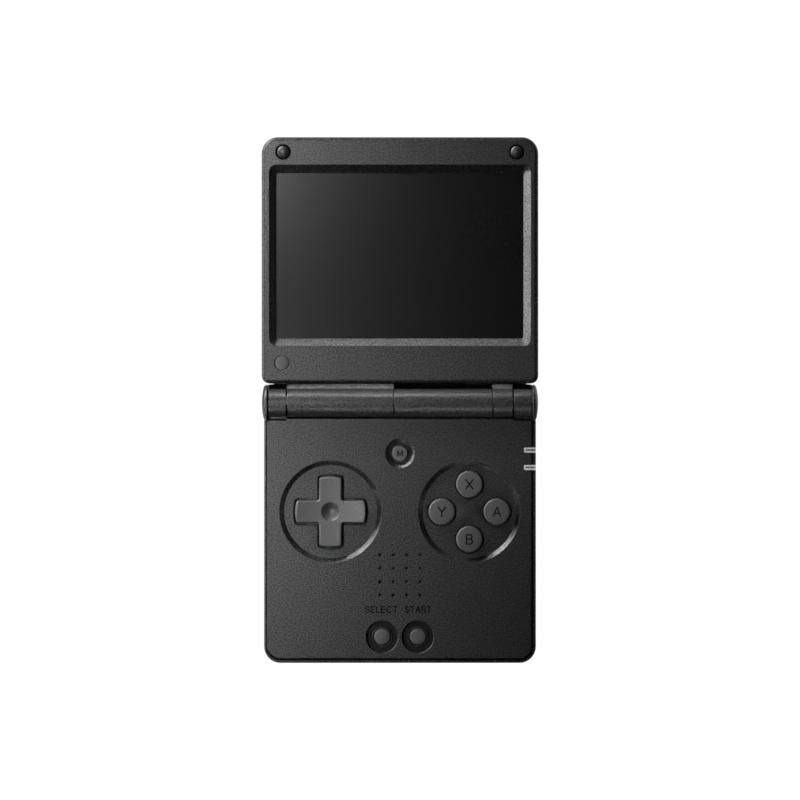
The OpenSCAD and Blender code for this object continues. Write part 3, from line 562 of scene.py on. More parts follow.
def deck():
    bm = bmesh.new()
    prism(bm, rr(-40.6, -79.35, 40.6, AX_Y, 4.15, 0.5, n=10), [(0.12, 14.4), (0, 14.52)] + top_edge(0.75, DECK, 8))
    ob = make(bm, "control_deck")
    # half pipe under the barrels
    a0, a1 = math.pi + math.asin(1.0 / 6.1), 2 * math.pi - math.acos(4.06 / 6.1)
    pipe = [(AX_Y + 6.1 * math.cos(a0 + (a1 - a0) * k / 48), AX_Z + 6.1 * math.sin(a0 + (a1 - a0) * k / 48)) for k in range(49)]
    pipe += [(3.16, 12.4), (AX_Y, 12.4), (AX_Y, 15.5)]
    combine(ob, extrude_x(bmesh.new(), pipe, -39.8, 39.8), "UNION")
    # bosses under the controls
    bm = bmesh.new()
    for x, y, r in ((-DISH_X, DISH_Y, 16.6), (DISH_X, DISH_Y, 16.6), (0, -16.3, 5.6), (-5.45, -72.3, 5.3), (5.45, -72.3, 5.3)):
        prism(bm, circ(x, y, r, 64), [(0, 13.4), (0, 14.7)])
    for x in (-36.5, 36.5):
        for y in (-10.2, -73.6):
            prism(bm, circ(x, y, 2.4, 32), [(0, 6.1), (0, 14.7)])
    combine(ob, bm, "UNION")
    # troughs of the turning barrels, flat grooves along the fixed ones, wider recesses at the ends
    bm = bmesh.new()
    extrude_x(bm, lip_cut(4.7, 0.35), -34.7, -1.82)
    extrude_x(bm, lip_cut(4.7, 0.35), 28.18, 34.7)
    combine(ob, bm)
    combine(ob, extrude_x(bmesh.new(), lip_cut(4.7, 0.35, 14.3), -1.9, 28.26))
    bm = bmesh.new()
    extrude_x(bm, lip_cut(5.3, 0.35, 14.3), -40.15, -34.7)
    extrude_x(bm, lip_cut(5.3, 0.35, 14.3), 34.7, 40.15)
    combine(ob, bm)
    bm = bmesh.new()
    extrude_x(bm, lip_cut(5.7, 0.35), -44, -40.15)
    extrude_x(bm, lip_cut(5.7, 0.35), 40.15, 44)
    combine(ob, bm)
    # the two big dishes, the menu dish, the select and start wells, the speaker holes
    T = DECK + EPS
    bm = bmesh.new()
    for s in (-1, 1):
        p = fillet([(0, 14.8), (14.25, 14.8, 0.25), (15.6, T, 0.30), (19, T)], 5)[:-1]
        spin(bm, p + [(p[-1][0], 20), (0, 20)], (s * DISH_X, DISH_Y), 144)
    p = fillet([(0, 14.9), (3.0, 14.9, 0.15), (4.5, T, 0.30), (9, T)], 5)[:-1]
    spin(bm, p + [(p[-1][0], 20), (0, 20)], (0, -16.3), 80)
    for s in (-1, 1):
        p = fillet([(0, 11), (2.775, 11), (2.775, 15.4, 0.10), (3.125, 15.4, 0.12), (3.125, 14.0), (4.8, 14.0, 0.2),
                    (4.8, T, 0.28), (9, T)], 4)[:-1]
        spin(bm, p + [(p[-1][0], 20), (0, 20)], (s * 5.45, -72.3), 72)
    for i in range(4):
        for j in range(4):
            spin(bm, [(0, 12), (0.45, 12), (0.45, 15.88), (0.48, 15.95), (0.56, T), (0.56, 20), (0, 20)],
                 ((i - 1.5) * 4.08, -53.4 + (j - 1.5) * 4.08), 20)
    combine(ob, bm)
    # openings that the controls come up through, and the slots of the light bars
    F = 14.8 + EPS
    bm = bmesh.new()
    prism(bm, cross(-DISH_X, DISH_Y, 11.4, 3.95, 1.0, 0.35), [(0, 11)] + mouth(0.2, F) + [(-0.2, 20)])
    for k in range(4):
        a = math.pi / 2 * k
        prism(bm, circ(DISH_X + 8.4 * math.cos(a), DISH_Y + 8.4 * math.sin(a), 4.4, 64), [(0, 11)] + mouth(0.15, F) + [(-0.15, 20)])
    prism(bm, circ(0, -16.3, 2.825, 48), [(0, 11)] + mouth(0.1, 14.9 + EPS) + [(-0.1, 20)])
    for y in (-15.3, -20.6):
        prism(bm, rr(37.7, y - 0.85, 46, y + 0.85, 0.12, n=3), [(0, 11)] + mouth(0.12, T, 3) + [(-0.12, 20)])
    combine(ob, bm)
    # fixed knuckles at the ends and the fixed barrel in the middle, with the necks that carry them
    bm = bmesh.new()
    barrel(bm, -40.4, -34.7, c0=0.6, c1=0.16)
    barrel(bm, 34.7, 40.4, c0=0.16, c1=0.6)
    barrel(bm, -1.82, 28.18, c0=0.12, c1=0.12)
    for x0, x1 in ((-39.7, -34.75), (-1.78, 28.14), (34.75, 39.7)):
        neck = arc(AX_Y, AX_Z, 4.9, math.radians(209), math.radians(316), 24) + arc(AX_Y, AX_Z, 4.0, math.radians(316), math.radians(209), 24)
        extrude_x(bm, neck, x0, x1)
    add(ob, bm)
    return done(ob, "base", SHELL, ["base_top_shell"])


# ------------------------------------------------------------------ base: lower shell
def tub():
    n = 10
    loop = rr(-BX, FRONT, BX, REAR, 5.0, 2.0, n=n)
    prof = low_edge(3.0, 0.0, 8) + top_edge(0.32, RIM, 5)
    prof += [(0.62, RIM), (0.68, RIM - 0.02), (0.70, RIM - 0.08), (0.70, 14.35), (1.5, 14.35), (1.5, 1.6)]
    ob = make(prism(bmesh.new(), loop, prof), "lower_shell")
    # screw posts
    bm = bmesh.new()
    for x in (-36.5, 36.5):
        for y in (-10.2, -73.6):
            prism(bm, circ(x, y, 2.9, 40), [(0, 0.9), (0, 6.0)])
    combine(ob, bm, "UNION")
    # low rear wall, and round notches for the hinge caps
    rear = fillet([(2.0, 12.4), (REAR, 12.4, 0.5), (REAR, 11.0)], 5)[:-1]
    back = rear + [(REAR + 0.0, 11.9), (9, 11.9), (9, 24), (2.0, 24)]
    back = fillet([(2.0, 12.4), (REAR + EPS, 12.4, 0.5), (REAR + EPS, 11.5)], 5)[:-1] + [(9, 11.9), (9, 24), (2.0, 24)]
    combine(ob, extrude_x(bmesh.new(), back, -44, 44))
    R, f = 5.7, 0.35
    T = RIM + EPS
    zc = T - f
    yc = AX_Y - math.sqrt((R + f) ** 2 - (zc - AX_Z) ** 2)
    end = math.atan2(AX_Z - zc, AX_Y - yc)
    a0 = math.atan2(zc - AX_Z, yc - AX_Y)
    a0 = a0 - 2 * math.pi if a0 > 0 else a0
    notch = [(yc, 24)] + arc(yc, zc, f, math.pi / 2, end, 5)
    a1 = -math.acos(3.99 / 5.7)
    notch += [(AX_Y + R * math.cos(a0 + (a1 - a0) * k / 32), AX_Z + R * math.sin(a0 + (a1 - a0) * k / 32)) for k in range(1, 33)]
    notch += [(AX_Y + 4.02, 24)]
    bm = bmesh.new()
    extrude_x(bm, notch, -44, -39.9)
    extrude_x(bm, notch, 39.9, 44)
    combine(ob, bm)
    # openings in the four walls, each with a softened mouth
    bm = bmesh.new()

    def hole(ax, pos, loop, soft=0.14, deep=2.2):
        prism(bm, loop, [(0, -deep)] + mouth(soft, EPS, 3) + [(-soft, 2.5)], along(ax, pos))
    hole("-x", (-BX, -25, 9.1), rr(-6.8, -1.35, 6.8, 1.35, 1.3))
    hole("x", (BX, -30, 9.1), rr(-4.15, -1.25, 4.15, 1.25, 1.2))
    hole("x", (BX, -40, 9.1), circ(0, 0, 1.05, 32))
    for ax, s in (("-x", -1), ("x", 1)):
        hole(ax, (s * BX, -60, 9.15), rr(-6, -0.7, 6, 0.7, 0.25, n=3), 0.25)
    hole("y", (8, REAR, 6.28), rr(-4.75, -1.8, 4.75, 1.8, 1.7))
    hole("y", (-9.5, REAR, 6.2), rr(-5.85, -1.85, 5.85, 1.85, 0.4, n=3))
    hole("-y", (22, FRONT, 5), circ(0, 0, 2.65, 48), 0.2)
    for x0, x1 in ((-38.8, -29.6), (-29.0, -20.4), (29.6, 38.8), (20.4, 29.0)):
        hole("y", ((x0 + x1) / 2, REAR, 4.8), rr(-(x1 - x0) / 2 - 0.1, -2.75, (x1 - x0) / 2 + 0.1, 2.75, 0.5, n=4), 0.15)
    combine(ob, bm)
    bm = bmesh.new()
    for y in (-15.3, -20.6):
        brick(bm, 39.4, y - 0.85, 12.6, 46, y + 0.85, 24)
    # battery bay
    prism(bm, rr(-26.2, -61.5, 26.2, -20.5, 2.2), [(0, 5), (0, 0.15)] + [(-0.15, -EPS), (-0.15, -4)])
    combine(ob, bm)
    bm = bmesh.new()
    prism(bm, circ(0, -18.4, 4.0, 56), [(0, 5), (0, 0.15), (-0.15, -EPS), (-0.15, -4)])
    combine(ob, bm)
    # counterbores of the base screws
    bm = bmesh.new()
    for x in (-36.5, 36.5):
        for y in (-10.2, -73.6):
            spin(bm, [(0, -4), (2.1, -4), (2.1, -EPS), (2.0, 0.06), (1.95, 0.15), (1.95, 2.2), (1.1, 2.2), (1.1, 8), (0, 8)], (x, y), 40)
    combine(ob, bm)
    # ledge round the battery bay
    bm = bmesh.new()
    for x0, y0, x1, y1 in ((-27.7, -63, -24.9, -15.6), (24.9, -63, 27.7, -15.6), (-24.9, -63, 24.9, -60.5), (-24.9, -16.9, 24.9, -15.6)):
        brick(bm, x0, y0, 1.55, x1, y1, 2.4)
    add(ob, bm)
    return done(ob, "base", SHELL, ["base_bottom_shell"])


def battery_door():
    bm = bmesh.new()
    prism(bm, rr(-26, -61.3, 26, -20.7, 2.0), low_edge(0.2, 0.0, 3) + [(0, 1.5)])
    ob = make(bm, "battery_door")
    combine(ob, prism(bmesh.new(), circ(0, -18.4, 3.8, 64), low_edge(0.2, EPS, 3) + [(0, 1.5 - EPS)]), "UNION")
    bm = bmesh.new()
    spin(bm, [(0, -3), (2.0, -3), (2.0, -EPS), (1.85, 0.1), (1.8, 0.2), (1.8, 0.9), (0.95, 0.9), (0.95, 5), (0, 5)], (0, -18.4), 40)
    for i in (-1, 0, 1):
        prism(bm, rr(-7, -57.6 + 2 * i - 0.42, 7, -57.6 + 2 * i + 0.42, 0.41, n=6),
              [(0.22, 0.34), (0.1, 0.3), (0.03, 0.2), (0.0, 0.08), (-0.08, -EPS), (-0.08, -2)])
    combine(ob, bm)
    return done(ob, "base", SHELL, ["battery_cover"])


def end_cap(side, node):
    prof = [(0.0, 37.6), (1.5, 37.6), (1.5, 40.42), (5.36, 40.42)]
    pts = [(5.45, 40.44), (5.53, 40.52), (5.55, 40.66), (5.52, 40.85), (5.42, 41.05), (5.24, 41.26), (4.98, 41.44),
           (4.6, 41.6), (4.0, 41.74), (3.2, 41.87), (2.2, 41.98), (1.1, 42.06), (0.0, 42.1)]
    ob = make(spin(bmesh.new(), prof + pts, n=96, T=along("x" if side > 0 else "-x", (0, AX_Y, AX_Z))), "hinge_cap_" + ("right" if side > 0 else "left"))
    return done(ob, "base", SHELL, [node])


# ------------------------------------------------------------------ lid
LID_SEATS = ((35.6, 75.6), (-35.6, 75.6), (-36.0, 11.3))


def lid_front():
    loop = rr(-LX, LID_NEAR, LX, LID_FAR, 2.3, 5.0, n=10)
    prof = [(1.6, 14.45), (1.6, SEAM), (0.14, SEAM), (0.03, SEAM + 0.05), (0.0, SEAM + 0.16)] + top_edge(1.25, DECK, 12)
    ob = make(prism(bmesh.new(), loop, prof), "lid_front")
    T = DECK + EPS
    path = fillet([(0, SEAM - 2), (0, 14.55, 0.12), (2.25, T, 0.22), (6, T)], 4)[:-1]
    path.append((path[-1][0], 22))

    def ring(d):
        k = max(d, 0) / 2.25
        return rr(-37.7 - d, 18.75 - d, 37.7 + d, 69.25 + d * 2.55 / 2.25, 0.55 + 1.7 * k, n=8)()
    bm = bmesh.new()
    rings = [[bm.verts.new((x, y, z)) for x, y in ring(d)] for d, z in path]
    skin(bm, rings)
    combine(ob, bm)
    bm = bmesh.new()
    for c in LID_SEATS:
        p = fillet([(0, 10), (1.05, 10), (1.05, 13.8), (1.85, 13.8), (1.85, 15.1), (2.3, 15.1), (2.3, T, 0.22), (6, T)], 4)[:-1]
        spin(bm, p + [(p[-1][0], 22), (0, 22)], c, 56)
    combine(ob, bm)
    bm = bmesh.new()
    for x0, x1 in ((-34.3, -1.98), (28.33, 34.3)):
        barrel(bm, x0, x1, c0=0.14, c1=0.14)
        pts = [(5.98, -2.6), (5.98, -1.55), (5.93, -1.30), (5.80, -1.08), (5.60, -0.93), (5.3, -0.80), (5.0, -0.66), (4.7, -0.48), (4.42, -0.26),
               (4.2, 0.0), (4.05, 0.25), (3.2, 0.25), (3.2, -2.6)]
        extrude_x(bm, [(AX_Y + y, AX_Z + z) for y, z in pts], x0 + 0.02, x1 - 0.02)
    add(ob, bm)
    return done(ob, "lid", SHELL, ["lid_front_shell"])


def lid_rear():
    loop = rr(-LX, LID_NEAR, LX, LID_FAR, 2.3, 5.0, n=10)
    prof = low_edge(3.5, LID_OUT, 10) + [(0.0, SEAM - 0.21), (0.03, SEAM - 0.10), (0.14, SEAM - 0.05), (1.6, SEAM - 0.05), (1.6, LID_OUT + 1.5)]
    ob = make(prism(bmesh.new(), loop, prof), "lid_back")
    bm = bmesh.new()
    for c in LID_SEATS:
        spin(bm, [(0.8, 8.0), (2.2, 8.0), (2.2, SEAM - 0.05), (0.8, SEAM - 0.05)], c, 32, closed=True)
    add(ob, bm)
    return done(ob, "lid", SHELL, ["lid_rear_shell"])


def lens():
    ob = make(prism(bmesh.new(), rr(-38.9, 17.6, 38.9, 70.4, 1.0), low_edge(0.08, 13.3, 2) + top_edge(0.08, 14.4, 2)), "screen_window")
    return done(ob, "lid", GLASS, ["screen_lens"])


def bumpers():
    bm = bmesh.new()
    for c in LID_SEATS[:2]:
        R = 3.1
        prof = [(0, 15.12), (1.78, 15.12), (1.84, 15.2), (1.85, 15.3), (1.85, 15.9)]
        prof += [(R * math.sin(a), 16.7 - R + R * math.cos(a)) for a in [math.radians(35.6) * (1 - k / 14) for k in range(15)]]
        prof[-1] = (0, 16.7)
        spin(bm, prof, c, 56)
    ob = make(bm, "lid_bumper_pads")
    # Painted shade: black rings in the wells round the bumper domes, standing in for the shade in the gap round each
    # bumper.
    bm = bmesh.new()
    for c in LID_SEATS[:2]:
        spin(bm, [(1.88, 15.102), (2.27, 15.102), (2.288, 15.12), (2.288, 15.7), (2.25, 15.7), (2.22, 15.15), (1.88, 15.14)], c, 56, closed=True)
    done(make(bm, "lid_bumper_painted_shade_rings"), "lid", INK_AND_PAINTED_SHADE)
    return done(ob, "lid", RUBBER, ["lid_bumpers"], angle=40)


def plug():
    prof = [(0, 15.12), (2.05, 15.12), (2.12, 15.2)] + [(2.12 - o, z) for o, z in top_edge(0.14, 15.93, 4)] + [(1.0, 15.945), (0, 15.95)]
    ob = make(spin(bmesh.new(), prof, LID_SEATS[2], 56), "screw_plug")
    return done(ob, "lid", RUBBER, ["lid_screw_plug"])


# ------------------------------------------------------------------ controls
def dpad():
    f, half = 0.5, 10.85
    edge = cross(-DISH_X, DISH_Y, half, 3.45, 0.85, 0.70)

    def top(x, y):
        d = math.hypot(x + DISH_X, y - DISH_Y)
        z = 17.0 - 0.42 * (1 - min(d / 10.6, 1.0) ** 2)
        R, r0, soft = 5.5, 2.85, 0.22
        if d < r0 + soft:
            cup = (math.sqrt(R * R - d * d) - math.sqrt(R * R - r0 * r0))
            k = 1.0 if d < r0 - soft else 0.5 + 0.5 * math.cos(math.pi * (d - r0 + soft) / (2 * soft))
            z -= (max(cup, 0) + 0.03) * k
        return z
    bm = bmesh.new()
    rings = []
    for off, z in [(0.25, 12.15), (0.0, 12.4), (0.0, 13.5), (0.0, 15.0)]:
        rings.append([bm.verts.new((x, y, z)) for x, y in edge(off)])
    for k in range(7):
        a = math.pi / 2 * k / 6
        rings.append([bm.verts.new((x, y, top(x, y) - f * (1 - math.sin(a)))) for x, y in edge(f * (1 - math.cos(a)))])
    skin(bm, rings, cap1=False)
    rim = rings[-1]
    outline = [Vector((v.co.x, v.co.y)) for v in rim]
    pts = list(outline)
    inner = edge(f + 0.16)
    poly = [Vector(p) for p in inner]

    def inside(p):
        c, j = False, len(poly) - 1
        for i in range(len(poly)):
            a, b = poly[i], poly[j]
            if (a.y > p[1]) != (b.y > p[1]) and p[0] < (b.x - a.x) * (p[1] - a.y) / (b.y - a.y) + a.x:
                c = not c
            j = i
        return c
    for r in (0.0, 0.6, 1.2, 1.7, 2.1, 2.4, 2.6, 2.7, 2.8, 2.9, 3.0, 3.1, 3.25):
        m = 1 if r == 0 else 48
        for k in range(m):
            t = 2 * math.pi * (k + 0.5 * (int(r * 20) % 2)) / m
            p = (-DISH_X + r * math.cos(t), DISH_Y + r * math.sin(t))
            if inside(p):
                pts.append(Vector(p))
    g = 0.5
    for i in range(-24, 25):
        for j in range(-24, 25):
            x, y = -DISH_X + i * g, DISH_Y + j * g
            if math.hypot(x + DISH_X, y - DISH_Y) > 3.5 and inside((x, y)):
                pts.append(Vector((x, y)))
    n = len(outline)
    out = geometry.delaunay_2d_cdt(pts, [(i, (i + 1) % n) for i in range(n)], [], 1, 1e-5)
    verts = []
    for co, orig in zip(out[0], out[3]):
        own = [o for o in orig if o < n]
        verts.append(rim[own[0]] if own else bm.verts.new((co.x, co.y, top(co.x, co.y))))
    for tri in out[2]:
        try:
            bm.faces.new([verts[i] for i in tri])
        except ValueError:
            pass
    ob = make(bm, "direction_pad")
    bm = bmesh.new()
    spin(bm, [(0, 12.15), (7.9, 12.15), (8.0, 12.2), (8.0, 12.45), (7.9, 12.5), (0, 12.5)], (-DISH_X, DISH_Y), 64)
    add(ob, bm)
    return done(ob, "dpad", KEY, ["dpad"], angle=35)


def cap(name, node, x, y, r, topz, flange_r, edge, letter=None, height=3.2, stroke=0.42, deep=0.14, dome=0.06, flange_z=12.5):
    zt = topz - dome
    prof = [(0, flange_z), (flange_r - 0.1, flange_z), (flange_r, flange_z + 0.1), (flange_r, flange_z + 0.65), (flange_r - 0.1, flange_z + 0.75), (r, flange_z + 0.75)]
    prof += [(r - o, z) for o, z in top_edge(edge, zt, 6)]
    rt = r - edge
    prof += [(rt * k, zt + dome * (1 - k * k)) for k in (0.85, 0.6, 0.3)] + [(0, topz)]
    ob = make(spin(bmesh.new(), prof, (x, y), 72), name)
    if letter:
        combine(ob, letters(letter, x, y, height, stroke, topz - deep, topz + 1.0))
        ink = make(letters(letter, x, y, height, stroke - 0.03, topz - deep - 0.03, topz - deep + 0.02), name + "_letter")
        done(ink, node, INK_AND_PAINTED_SHADE)
    return done(ob, node, KEY, [node])


def side_key(name, node, ax, pos, loop, reach, flange, soft=0.3, mat=None):
    """Key that shows through a wall: pos is the middle of its outer face."""
    bm = bmesh.new()
    prism(bm, loop, [(0.12, -reach), (0, -reach + 0.12)] + top_edge(soft, 0.0, 5), along(ax, pos))
    ob = make(bm, name)
    if flange:
        add(ob, brick(bmesh.new(), *flange, 0.15))
    return done(ob, node, mat or KEY, [node])


def light_bar(name, node, y):
    """L-shaped light pipe: lies in the deck and turns down over the edge."""
    out = fillet([(37.8, 14.8), (37.8, 15.95, 0.12), (41.42, 15.95, 0.45), (41.42, 12.7, 0.1), (40.0, 12.7, 0.1), (40.0, 14.8, 0.2)], 5, closed=True)
    bm = bmesh.new()
    w, e = 0.8, 0.1
    cen = Vector((sum(p[0] for p in out) / len(out), sum(p[1] for p in out) / len(out)))

    def inset(pts, d):
        res, m = [], len(pts)
        for i in range(m):
            a, b, c = Vector(pts[i - 1]), Vector(pts[i]), Vector(pts[(i + 1) % m])
            n1 = Vector((-(b - a).y, (b - a).x)).normalized()
            n2 = Vector((-(c - b).y, (c - b).x)).normalized()
            nn = (n1 + n2)
            nn = nn / max(nn.length_squared / 2, 0.5)
            res.append(tuple(b - nn * d))
        return res
    rings = []
    for d, yy in ((e, y - w), (0.0, y - w + e), (0.0, y + w - e), (e, y + w)):
        p = inset(out, d)
        rings.append([bm.verts.new((px, yy, pz)) for px, pz in p])
    skin(bm, rings)
    ob = make(bm, name)
    bm = bmesh.new()
    prism(bm, rr(38.2, y - 0.34, 44, y + 0.34, 0.33, n=6), [(0.16, 15.80), (0.05, 15.86), (0.0, 15.95), (-0.03, 16.2)])
    combine(ob, bm)
    # Painted shade: a grey strip at the foot of the groove darkens the middle of the bar; the groove itself is real.
    core = make(prism(bmesh.new(), rr(38.32, y - 0.25, 41.0, y + 0.25, 0.24, n=6), [(0.0, 15.79), (0.0, 15.84), (0.04, 15.87)]), name + "_core")
    done(core, "base", PIPE_PAINTED_SHADE)
    return done(ob, "base", PIPE, [node], angle=40)


# ------------------------------------------------------------------ printed words
def words():
    ob = make(letters("SELECT", -5.7, -63.9, 2.1, 0.30, DECK - 0.03, DECK + 0.012, width=10.0), "printed_words")
    bm = letters("START", 5.5, -63.9, 2.1, 0.30, DECK - 0.03, DECK + 0.012, width=8.2)
    add(ob, bm)
    return done(ob, "base", INK_AND_PAINTED_SHADE)


def painted_shade_ledge_strips():
    """Painted shade: matt black strips on the ledge behind the fixed barrel and the end knuckles, standing in for the
    shade deep in the gap there.
    """
    bm = bmesh.new()
    for x0, x1 in ((-40.0, -34.75), (-1.75, 28.1), (34.75, 40.0)):
        brick(bm, x0, 3.3, 12.401, x1, 4.5, 12.46, 0.02)
    ob = make(bm, "hinge_ledge_painted_shade")
    return done(ob, "base", INK_AND_PAINTED_SHADE)


def well_painted_shade_rings():
    """Painted shade: matt black rings that line the select and start wells, standing in for the shade at the foot of
    the wells.
    """
    bm = bmesh.new()
    for x in (-5.45, 5.45):
        prof = [(3.14, 14.002), (4.78, 14.002), (4.795, 14.02), (4.795, 15.1), (4.74, 15.1), (4.70, 14.08), (3.22, 14.06), (3.20, 14.9), (3.14, 14.9)]
        spin(bm, prof, (x, -72.3), 72, closed=True)
    ob = make(bm, "well_painted_shade_rings")
    return done(ob, "base", TRIM_AND_PAINTED_SHADE)


def membrane(name, node, loop, centre, pads, top=11.45, hole=2.45, r=2.2, z0=12.05, z1=12.42):
    """Silicone sheet on the board, open under each key, and the pads that the keys press down through it."""
    ob = make(prism(bmesh.new(), loop, [(0.06, 11.03), (0, 11.09), (0, top - 0.08), (0.08, top)]), name)
    bm = bmesh.new()
    if centre:
        prism(bm, circ(centre[0], centre[1], 2.6, 40), [(0, 10), (0, 13)])
    for body, x, y in pads:
        prism(bm, circ(x, y, hole, 48), [(0, 10), (0, top - 0.08), (-0.08, top + EPS), (-0.08, 13)])
    combine(ob, bm)
    groups = {}
    for body, x, y in pads:
        bm = groups.setdefault(body, bmesh.new())
        spin(bm, [(0, z0), (r - 0.1, z0), (r, z0 + 0.08), (r, z1 - 0.08), (r - 0.1, z1), (0, z1)], (x, y), 48)
    for body, bm in groups.items():
        done(make(bm, name + "_pads_" + body), body, SILICONE)
    return done(ob, "base", SILICONE, [node])


def membranes():
    fb = [("button_x", DISH_X, DISH_Y + 8.4), ("button_a", DISH_X + 8.4, DISH_Y), ("button_b", DISH_X, DISH_Y - 8.4), ("button_y", DISH_X - 8.4, DISH_Y)]
    membrane("silicone_face", "face_button_membrane", circ(DISH_X, DISH_Y, 13, 96), None, fb, hole=3.6, r=3.3)
    dp = [("dpad", -DISH_X + 8.6 * math.cos(a), DISH_Y + 8.6 * math.sin(a)) for a in [math.pi / 2 * k for k in range(4)]]
    membrane("silicone_pad", "dpad_membrane", circ(-DISH_X, DISH_Y, 13, 96), (-DISH_X, DISH_Y), dp, top=11.3, hole=4.2, r=2.5, z0=11.88, z1=12.14)
    membrane("silicone_menu", "menu_membrane", circ(0, -16.3, 4.4, 56), None, [("button_menu", 0, -16.3)])
    membrane("silicone_start", "start_select_membrane", rr(-10, -76.3, 10, -68.3, 2), None,
             [("button_select", -5.45, -72.3), ("button_start", 5.45, -72.3)])


deck()
tub()
battery_door()
end_cap(-1, "hinge_end_cap_left")
end_cap(1, "hinge_end_cap_right")
lid_front()
lid_rear()
lens()
bumpers()
plug()
dpad()
words()
# Painted shade: black rings in the select and start wells.
well_painted_shade_rings()
# Painted shade: black strips on the ledge behind the hinge barrels.
painted_shade_ledge_strips()
membranes()
cap("key_x", "button_x", DISH_X, DISH_Y + 8.4, 4.05, 17.2, 4.9, 0.42, "X")
cap("key_a", "button_a", DISH_X + 8.4, DISH_Y, 4.05, 17.2, 4.9, 0.42, "A")
cap("key_b", "button_b", DISH_X, DISH_Y - 8.4, 4.05, 17.2, 4.9, 0.42, "B")
cap("key_y", "button_y", DISH_X - 8.4, DISH_Y, 4.05, 17.2, 4.9, 0.42, "Y")
cap("key_menu", "button_menu", 0, -16.3, 2.425, 15.9, 3.5, 0.28, "M", height=1.9, stroke=0.30, deep=0.12, dome=0.03)
cap("key_select", "button_select", -5.45, -72.3, 2.475, 15.7, 3.4, 0.32, dome=0.05)
cap("key_start", "button_start", 5.45, -72.3, 2.475, 15.7, 3.4, 0.32, dome=0.05)
side_key("volume_key", "volume_rocker", "-x", (-41.42, -25, 9.1), rr(-6.5, -1.1, 6.5, 1.1, 1.05), 2.17, (-39.45, -32, 7.75, -38.7, -18, 10.45))
side_key("power_key", "power_button", "x", (41.42, -30, 9.1), rr(-3.9, -1.0, 3.9, 1.0, 0.95), 2.22, (39.0, -34.6, 7.6, 39.8, -25.4, 9.9))
side_key("reset_key", "reset_button", "x", (41.4, -40, 9.1), circ(0, 0, 0.9, 32), 2.2, (39.0, -41.6, 7.6, 39.8, -38.4, 9.9), 0.2)
for nm, x0, x1 in (("l1", -38.8, -29.65), ("l2", -28.95, -20.4), ("r2", 20.4, 28.95), ("r1", 29.65, 38.8)):
    side_key("shoulder_key_" + nm, "shoulder_" + nm, "y", ((x0 + x1) / 2, 5.6, 4.8),
             rr(-(x1 - x0) / 2, -2.6, (x1 - x0) / 2, 2.6, 0.4, n=5), 3.4, (x0 - 0.25, 2.0, 1.75, x1 + 0.25, 3.1, 7.75), 0.45)
light_bar("light_bar_power", "power_light_pipe", -15.3)
light_bar("light_bar_charge", "charge_light_pipe", -20.6)

# ------------------------------------------------------------------ CAD nodes that stay, with their own materials
KEPT = {
    "battery_cover_screw": "screw_steel", "base_screws": "screw_steel", "lid_screws": "screw_steel",
    "usb_c_port": "port_steel", "hdmi_port": "port_steel", "card_slot_left": "port_steel", "card_slot_right": "port_steel",
    "soc_shield": "port_steel", "tact_switches": "port_steel", "headphone_jack": "dark_trim", "speaker": "dark_trim",
    "speaker_mesh": "dark_cloth", "main_board": "board_laminate", "io_board": "board_laminate", "battery": "battery_foil",
    "hinge_cartridge": "hinge_steel", "hinge_spring": "hinge_steel", "hinge_sleeve_left": "hinge_steel",
    "hinge_sleeve_centre": "hinge_steel", "hinge_cam_shaft": "hinge_steel", "lid_magnet": "hinge_steel",
    "board_flex_tail": "flex_film", "lcd_flex_cable": "flex_film",
    "screen_gasket": "rubber_black", "lcd_panel": "lcd_glass", "backlight_unit": "diffuser", "dpad_pivot": "key_plastic",
}
for nm, sl in KEPT.items():
    ob = NODES[nm]
    ob.data.materials.clear()
    ob.data.materials.append(BY_SLOT[sl])
    if nm in ("battery_cover_screw", "base_screws", "lid_screws", "usb_c_port", "hdmi_port", "headphone_jack"):
        d = ob.modifiers.new("flat", "DECIMATE")
        d.decimate_type, d.angle_limit = "DISSOLVE", math.radians(2)
        b = ob.modifiers.new("soft_edges", "BEVEL")
        b.width, b.segments, b.limit_method, b.angle_limit = 0.00006, 2, "ANGLE", math.radians(40)

# ------------------------------------------------------------------ camera, floor and lights
scene = bpy.context.scene
cam_data = bpy.data.cameras.new("camera")
cam_data.type = "PERSP"
cam_data.sensor_width = 36.0
cam_data.lens = 36.0 * 1.6 / 0.244
cam = bpy.data.objects.new("camera", cam_data)
cam.location = (0, 0, 1.6 + 0.016)
scene.collection.objects.link(cam)
scene.camera = cam
cam_data.clip_start, cam_data.clip_end = 0.05, 20


